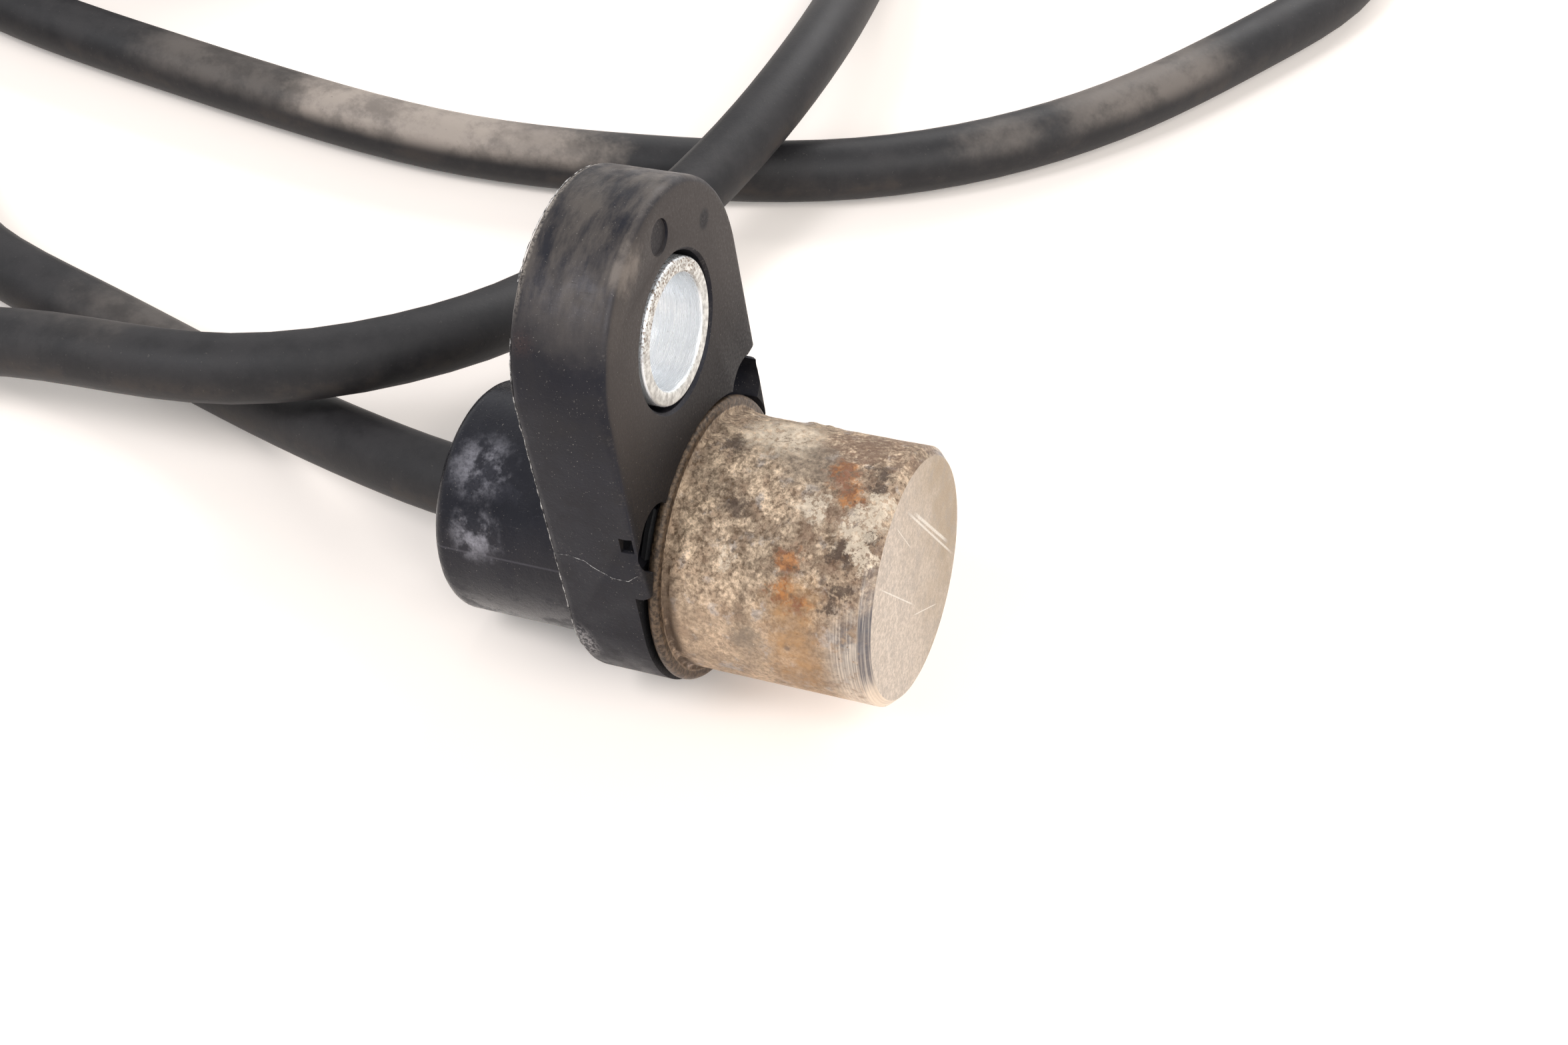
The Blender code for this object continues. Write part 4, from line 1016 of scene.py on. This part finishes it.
def can_profile():
    """The can's hollow wall: inside, collar, fillet, straight side, chamfer and flat end."""
    inside = NOSE_RADIUS - CAN_WALL
    profile = [(NOSE_REACH - CAN_END_WALL, 0.0), (NOSE_REACH - CAN_END_WALL, inside), (COLLAR_BACK, inside)]
    for i in range(9):
        angle = math.pi * i / 8
        radius = COLLAR_RADIUS - COLLAR_ROUND + COLLAR_ROUND * math.sin(angle)
        profile.append((COLLAR_MIDDLE - COLLAR_HALF * math.cos(angle), radius))
    for i in range(8):
        angle = math.pi / 2 * i / 7
        radius = NOSE_RADIUS + CAN_FILLET * (1 - math.sin(angle))
        profile.append((CAN_FOOT - (CAN_FOOT - COLLAR_NECK) * math.cos(angle), radius))
    length = NOSE_REACH - NOSE_CHAMFER - CAN_FOOT
    rows = 96
    profile += [(CAN_FOOT + length * i / rows, NOSE_RADIUS) for i in range(1, rows + 1)]
    for i in range(1, 6):
        share = i / 5
        profile.append((NOSE_REACH - NOSE_CHAMFER * (1 - share), NOSE_RADIUS - NOSE_CHAMFER * share))
    profile += [(NOSE_REACH, NOSE_RADIUS - NOSE_CHAMFER - 0.0070 * i / 14) for i in range(1, 15)]
    return profile + [(NOSE_REACH, 0.0)]


def crust_rise(x, y, z):
    """How far the crust stands out of the can there, in millimetres: thickest on top and near the collar."""
    spot = Vector((x, y, z)) * 1000
    coarse = noise.fractal(spot * 0.30, 1.0, 2.0, 2)
    lumps = noise.fractal(spot * 0.62 + Vector((9, 4, 2)), 0.8, 2.0, 2)
    grains = noise.noise(spot * 1.7 + Vector((1, 7, 5)))
    top = smoothstep((z * 1000 + 2.0) / 7)
    early = 1 - smoothstep((x * 1000 - 5.0) / 4.0)
    amount = (0.15 + 0.85 * top) * (0.12 + 0.88 * early)
    rise = amount * (0.05 * coarse + 0.17 * max(0.0, lumps - 0.05) + 0.03 * grains)
    rise += 0.08 * top * early * smoothstep((coarse + lumps - 0.10) / 0.5)
    rise -= 0.05 * top * (1 - early) * max(0.0, lumps - 0.15)
    if x > NOSE_REACH - NOSE_CHAMFER - 0.0002:
        rise *= 0.3
    return rise


def make_can(material, end_material):
    """The nose can, with the lumps and pits of its crust as real relief on its outside."""
    mesh = lathe("nose_shell", can_profile(), 400)
    places = np.empty(len(mesh.vertices) * 3)
    mesh.vertices.foreach_get("co", places)
    places = places.reshape(-1, 3)
    for i, (x, y, z) in enumerate(places):
        radius = math.hypot(y, z)
        if x < 0.0004 or radius < NOSE_RADIUS - 0.00055:
            continue
        scale = 1 + crust_rise(x, y, z) / 1000 / radius
        places[i, 1] = y * scale
        places[i, 2] = z * scale
    mesh.vertices.foreach_set("co", places.ravel())
    mesh.update()
    mesh.shade_smooth()
    mesh.set_sharp_from_angle(angle=math.radians(40))
    can = link("nose_shell", mesh, material, ["nose_can"])
    mesh.materials.append(end_material)
    for face in mesh.polygons:
        if face.center.x > NOSE_REACH - 0.00001:
            face.material_index = 1
    return can


def make_bush(material):
    """The steel bush, with its two lips rounded."""
    profile = []
    front = BUSH_PROUD - BUSH_LIP
    rear = -EAR_THICKNESS - BUSH_PROUD + BUSH_LIP
    for middle, sign in ((front, 1), (rear, -1)):
        outer = []
        inner = []
        for i in range(6):
            angle = math.pi / 2 * i / 5
            x = middle + sign * BUSH_LIP * math.sin(angle)
            outer.append((x, BUSH_RADIUS - BUSH_LIP * (1 - math.cos(angle))))
            inner.append((x, BORE_RADIUS + BUSH_LIP * (1 - math.cos(angle))))
        profile += inner + outer[::-1] if sign > 0 else outer + inner[::-1]
    bore = [(-EAR_THICKNESS * i / 12, BORE_RADIUS) for i in range(11, 0, -1)]
    mesh = lathe("bush_sleeve", profile + bore, 160, (0, EAR_REACH), closed=True)
    mesh.set_sharp_from_angle(angle=math.radians(50))
    return link("bush_sleeve", mesh, material, ["mounting_bush"])


def thread(name, points, radius, material):
    """A thin uneven bead along points of the housing, such as flash or a crack's raised lip."""
    places = [Vector(p) + noise.noise_vector(Vector(p) * 2500) * radius * 1.2 for p in points]
    swell = [noise.noise(Vector(p) * 1700 + Vector((5, 5, 5))) for p in points]
    radii = [radius * max(0.25, 1 + 1.2 * share) for share in swell]
    return link(name, tube(name, places, radii, 1), material)


def side_wall(z):
    """How far the ear's side is from its middle plane, at a height."""
    if z > EAR_REACH:
        return math.sqrt(EAR_TOP_RADIUS**2 - (z - EAR_REACH) ** 2)
    if z < 0:
        return math.sqrt(EAR_FOOT_RADIUS**2 - z**2)
    return (EAR_FOOT_RADIUS - z * math.sin(EAR_LEAN)) / math.cos(EAR_LEAN)


def along(points, count):
    """Evenly spread points along straight runs."""
    points = np.array(points)
    runs = np.append(0, np.cumsum(np.linalg.norm(np.diff(points, axis=0), axis=1)))
    wanted = np.linspace(0, runs[-1], count)
    return [tuple(np.interp(w, runs, points[:, k]) for k in range(3)) for w in wanted]


def make_marks(material):
    """The flash on the ear's rear edge and the hairline crack across its side."""
    noise.seed_set(BEAD_SEED)  # without a seed, noise_vector differs from run to run
    back = -EAR_THICKNESS + 0.00012
    heights = [0.0212 - 0.0236 * i / 60 for i in range(61)]
    rear = [(back, 0.00020 - side_wall(z), z) for z in heights]
    thread("rear_flash", along(rear, 160), 0.000034, material)
    top = []
    for i in range(41):
        angle = math.radians(62 + 66 * i / 40)
        height = EAR_REACH + (EAR_TOP_RADIUS - 0.00017) * math.sin(angle)
        top.append((back, EAR_TOP_RADIUS * math.cos(angle), height))
    thread("top_flash", along(top, 90), 0.000030, material)
    crack = [(-0.0057, 0.0061), (-0.0048, 0.0062), (-0.0038, 0.0060), (-0.0033, 0.0056), (-0.0021, 0.0050)]
    crack += [(-0.0011, 0.0050), (-0.0004, 0.0056)]
    line = [(x, -side_wall(z) - 0.000002, z) for x, z in crack]
    thread("crack_lip", along(line, 60), 0.000018, material)


def wire(tree, kind, *sources, **settings):
    """A new node with the sources linked to its inputs in order, and the settings put on inputs by name."""
    made = tree.nodes.new(kind)
    for source, socket in zip(sources, made.inputs):
        tree.links.new(source, socket)
    for key, value in settings.items():
        made.inputs[key].default_value = value
    return made


def seen_directly(tree):
    """One for the rays of the camera, of reflections and through clear things."""
    rays = tree.nodes.new("ShaderNodeLightPath")
    found = rays.outputs["Is Camera Ray"]
    for kind in ("Is Glossy Ray", "Is Transmission Ray"):
        either = wire(tree, "ShaderNodeMath", found, rays.outputs[kind])
        either.operation = "MAXIMUM"
        found = either.outputs[0]
    return found


def make_floor():
    """A pale floor that keeps soft warm shadows, white where the light reaches it."""
    mesh = bpy.data.meshes.new("floor")
    corners = [(x * FLOOR_HALF, y * FLOOR_HALF, 0) for x, y in ((-1, -1), (1, -1), (1, 1), (-1, 1))]
    mesh.from_pydata(corners, [], [(0, 1, 2, 3)])
    floor = add_object("floor", mesh)
    floor.location.z = FLOOR_LEVEL
    material = bpy.data.materials.new("floor")
    material.use_nodes = True
    tree = material.node_tree
    tree.nodes.clear()
    diffuse = wire(tree, "ShaderNodeBsdfDiffuse", Color=FLOOR_COLOUR)
    strength = wire(tree, "ShaderNodeMath", seen_directly(tree))
    strength.operation = "MULTIPLY"
    strength.inputs[1].default_value = FLOOR_GLOW
    glow = wire(tree, "ShaderNodeEmission", Color=GLOW_COLOUR)
    tree.links.new(strength.outputs[0], glow.inputs["Strength"])
    add = wire(tree, "ShaderNodeAddShader", diffuse.outputs[0], glow.outputs[0])
    wire(tree, "ShaderNodeOutputMaterial", add.outputs[0])
    mesh.materials.append(material)


def make_world():
    """A white backdrop that lights the scene more softly than it looks."""
    world = bpy.data.worlds.new("studio")
    bpy.context.scene.world = world
    world.use_nodes = True
    tree = world.node_tree
    tree.nodes.clear()
    light = wire(tree, "ShaderNodeBackground", Color=WORLD_COLOUR, Strength=WORLD_LIGHT)
    white = wire(tree, "ShaderNodeBackground", Color=(1, 1, 1, 1))
    mix = wire(tree, "ShaderNodeMixShader", seen_directly(tree), light.outputs[0], white.outputs[0])
    wire(tree, "ShaderNodeOutputWorld", mix.outputs[0])


def make_lamps():
    """Soft rectangular lamps, turned to the sensor."""
    for name, place, size, power, colour in LAMPS:
        data = bpy.data.lights.new(name, "AREA")
        data.shape = "RECTANGLE"
        data.size, data.size_y = size
        data.energy = power
        data.color = colour
        lamp = add_object(name, data)
        lamp.location = place
        lamp.rotation_mode = "QUATERNION"
        lamp.rotation_quaternion = (Vector(LAMP_TARGET) - Vector(place)).to_track_quat("-Z", "Y")


make_camera()
lead = make_lead()
body_nylon = nylon("moulded_nylon")
make_housing(body_nylon)
make_can(corroded_steel("can_steel"), turned_end("can_end"))
zinc_steel = zinc("zinc_steel")
make_bush(zinc_steel)
make_marks(flash("torn_nylon"))
paint(lead, lead_rubber("lead_rubber"))

small_black = moulded("small_black_nylon", (0.018, 0.018, 0.020), 0.48)
seal = moulded("seal_rubber", (0.022, 0.022, 0.024), 0.62, 6.0)
brass = metal("brass", (0.55, 0.40, 0.16), (0.80, 0.62, 0.30))
nickel = metal("nickel", (0.48, 0.46, 0.43), (0.70, 0.68, 0.65), 0.25)
epoxy = moulded("chip_epoxy", (0.012, 0.012, 0.012), 0.45, 8.0)
finishes = {
    "can_seal": seal,
    "sensor_carrier": small_black,
    "hall_chip": epoxy,
    "bias_magnet": nickel,
    "flux_plate": zinc_steel,
    "circuit_board": moulded("board_laminate", (0.020, 0.110, 0.040), 0.42, 5.0),
    "capacitor_1": moulded("ceramic", (0.35, 0.23, 0.12), 0.45, 6.0),
    "capacitor_2": moulded("ceramic_2", (0.35, 0.23, 0.12), 0.45, 6.0),
    "resistor": epoxy,
    "resin_fill": moulded("potting_resin", (0.055, 0.028, 0.012), 0.32, 2.0),
    "lead_ferrule": brass,
    "lead_seal": seal,
    "coil_tie": small_black,
    "lead_sleeve": seal,
    "connector_shell": small_black,
    "connector_grommet": seal,
    "connector_lock": moulded("lock_plastic", (0.62, 0.60, 0.54), 0.45, 5.0, (0.45, 0.42, 0.36)),
}
insulation = {"red": (0.42, 0.020, 0.014), "black": (0.014, 0.014, 0.015), "white": (0.66, 0.64, 0.58)}
for core, colour in insulation.items():
    covered = moulded(f"insulation_{core}", colour, 0.40, 5.0)
    finishes[f"core_{core}"] = covered
    finishes[f"wire_{core}"] = covered
    finishes[f"terminal_{core}"] = brass
    finishes[f"connector_pin_{core}"] = brass
for node, finish in finishes.items():
    paint(NODES[node], finish)

make_floor()
make_world()
make_lamps()
bpy.context.scene.view_settings.view_transform = "Standard"
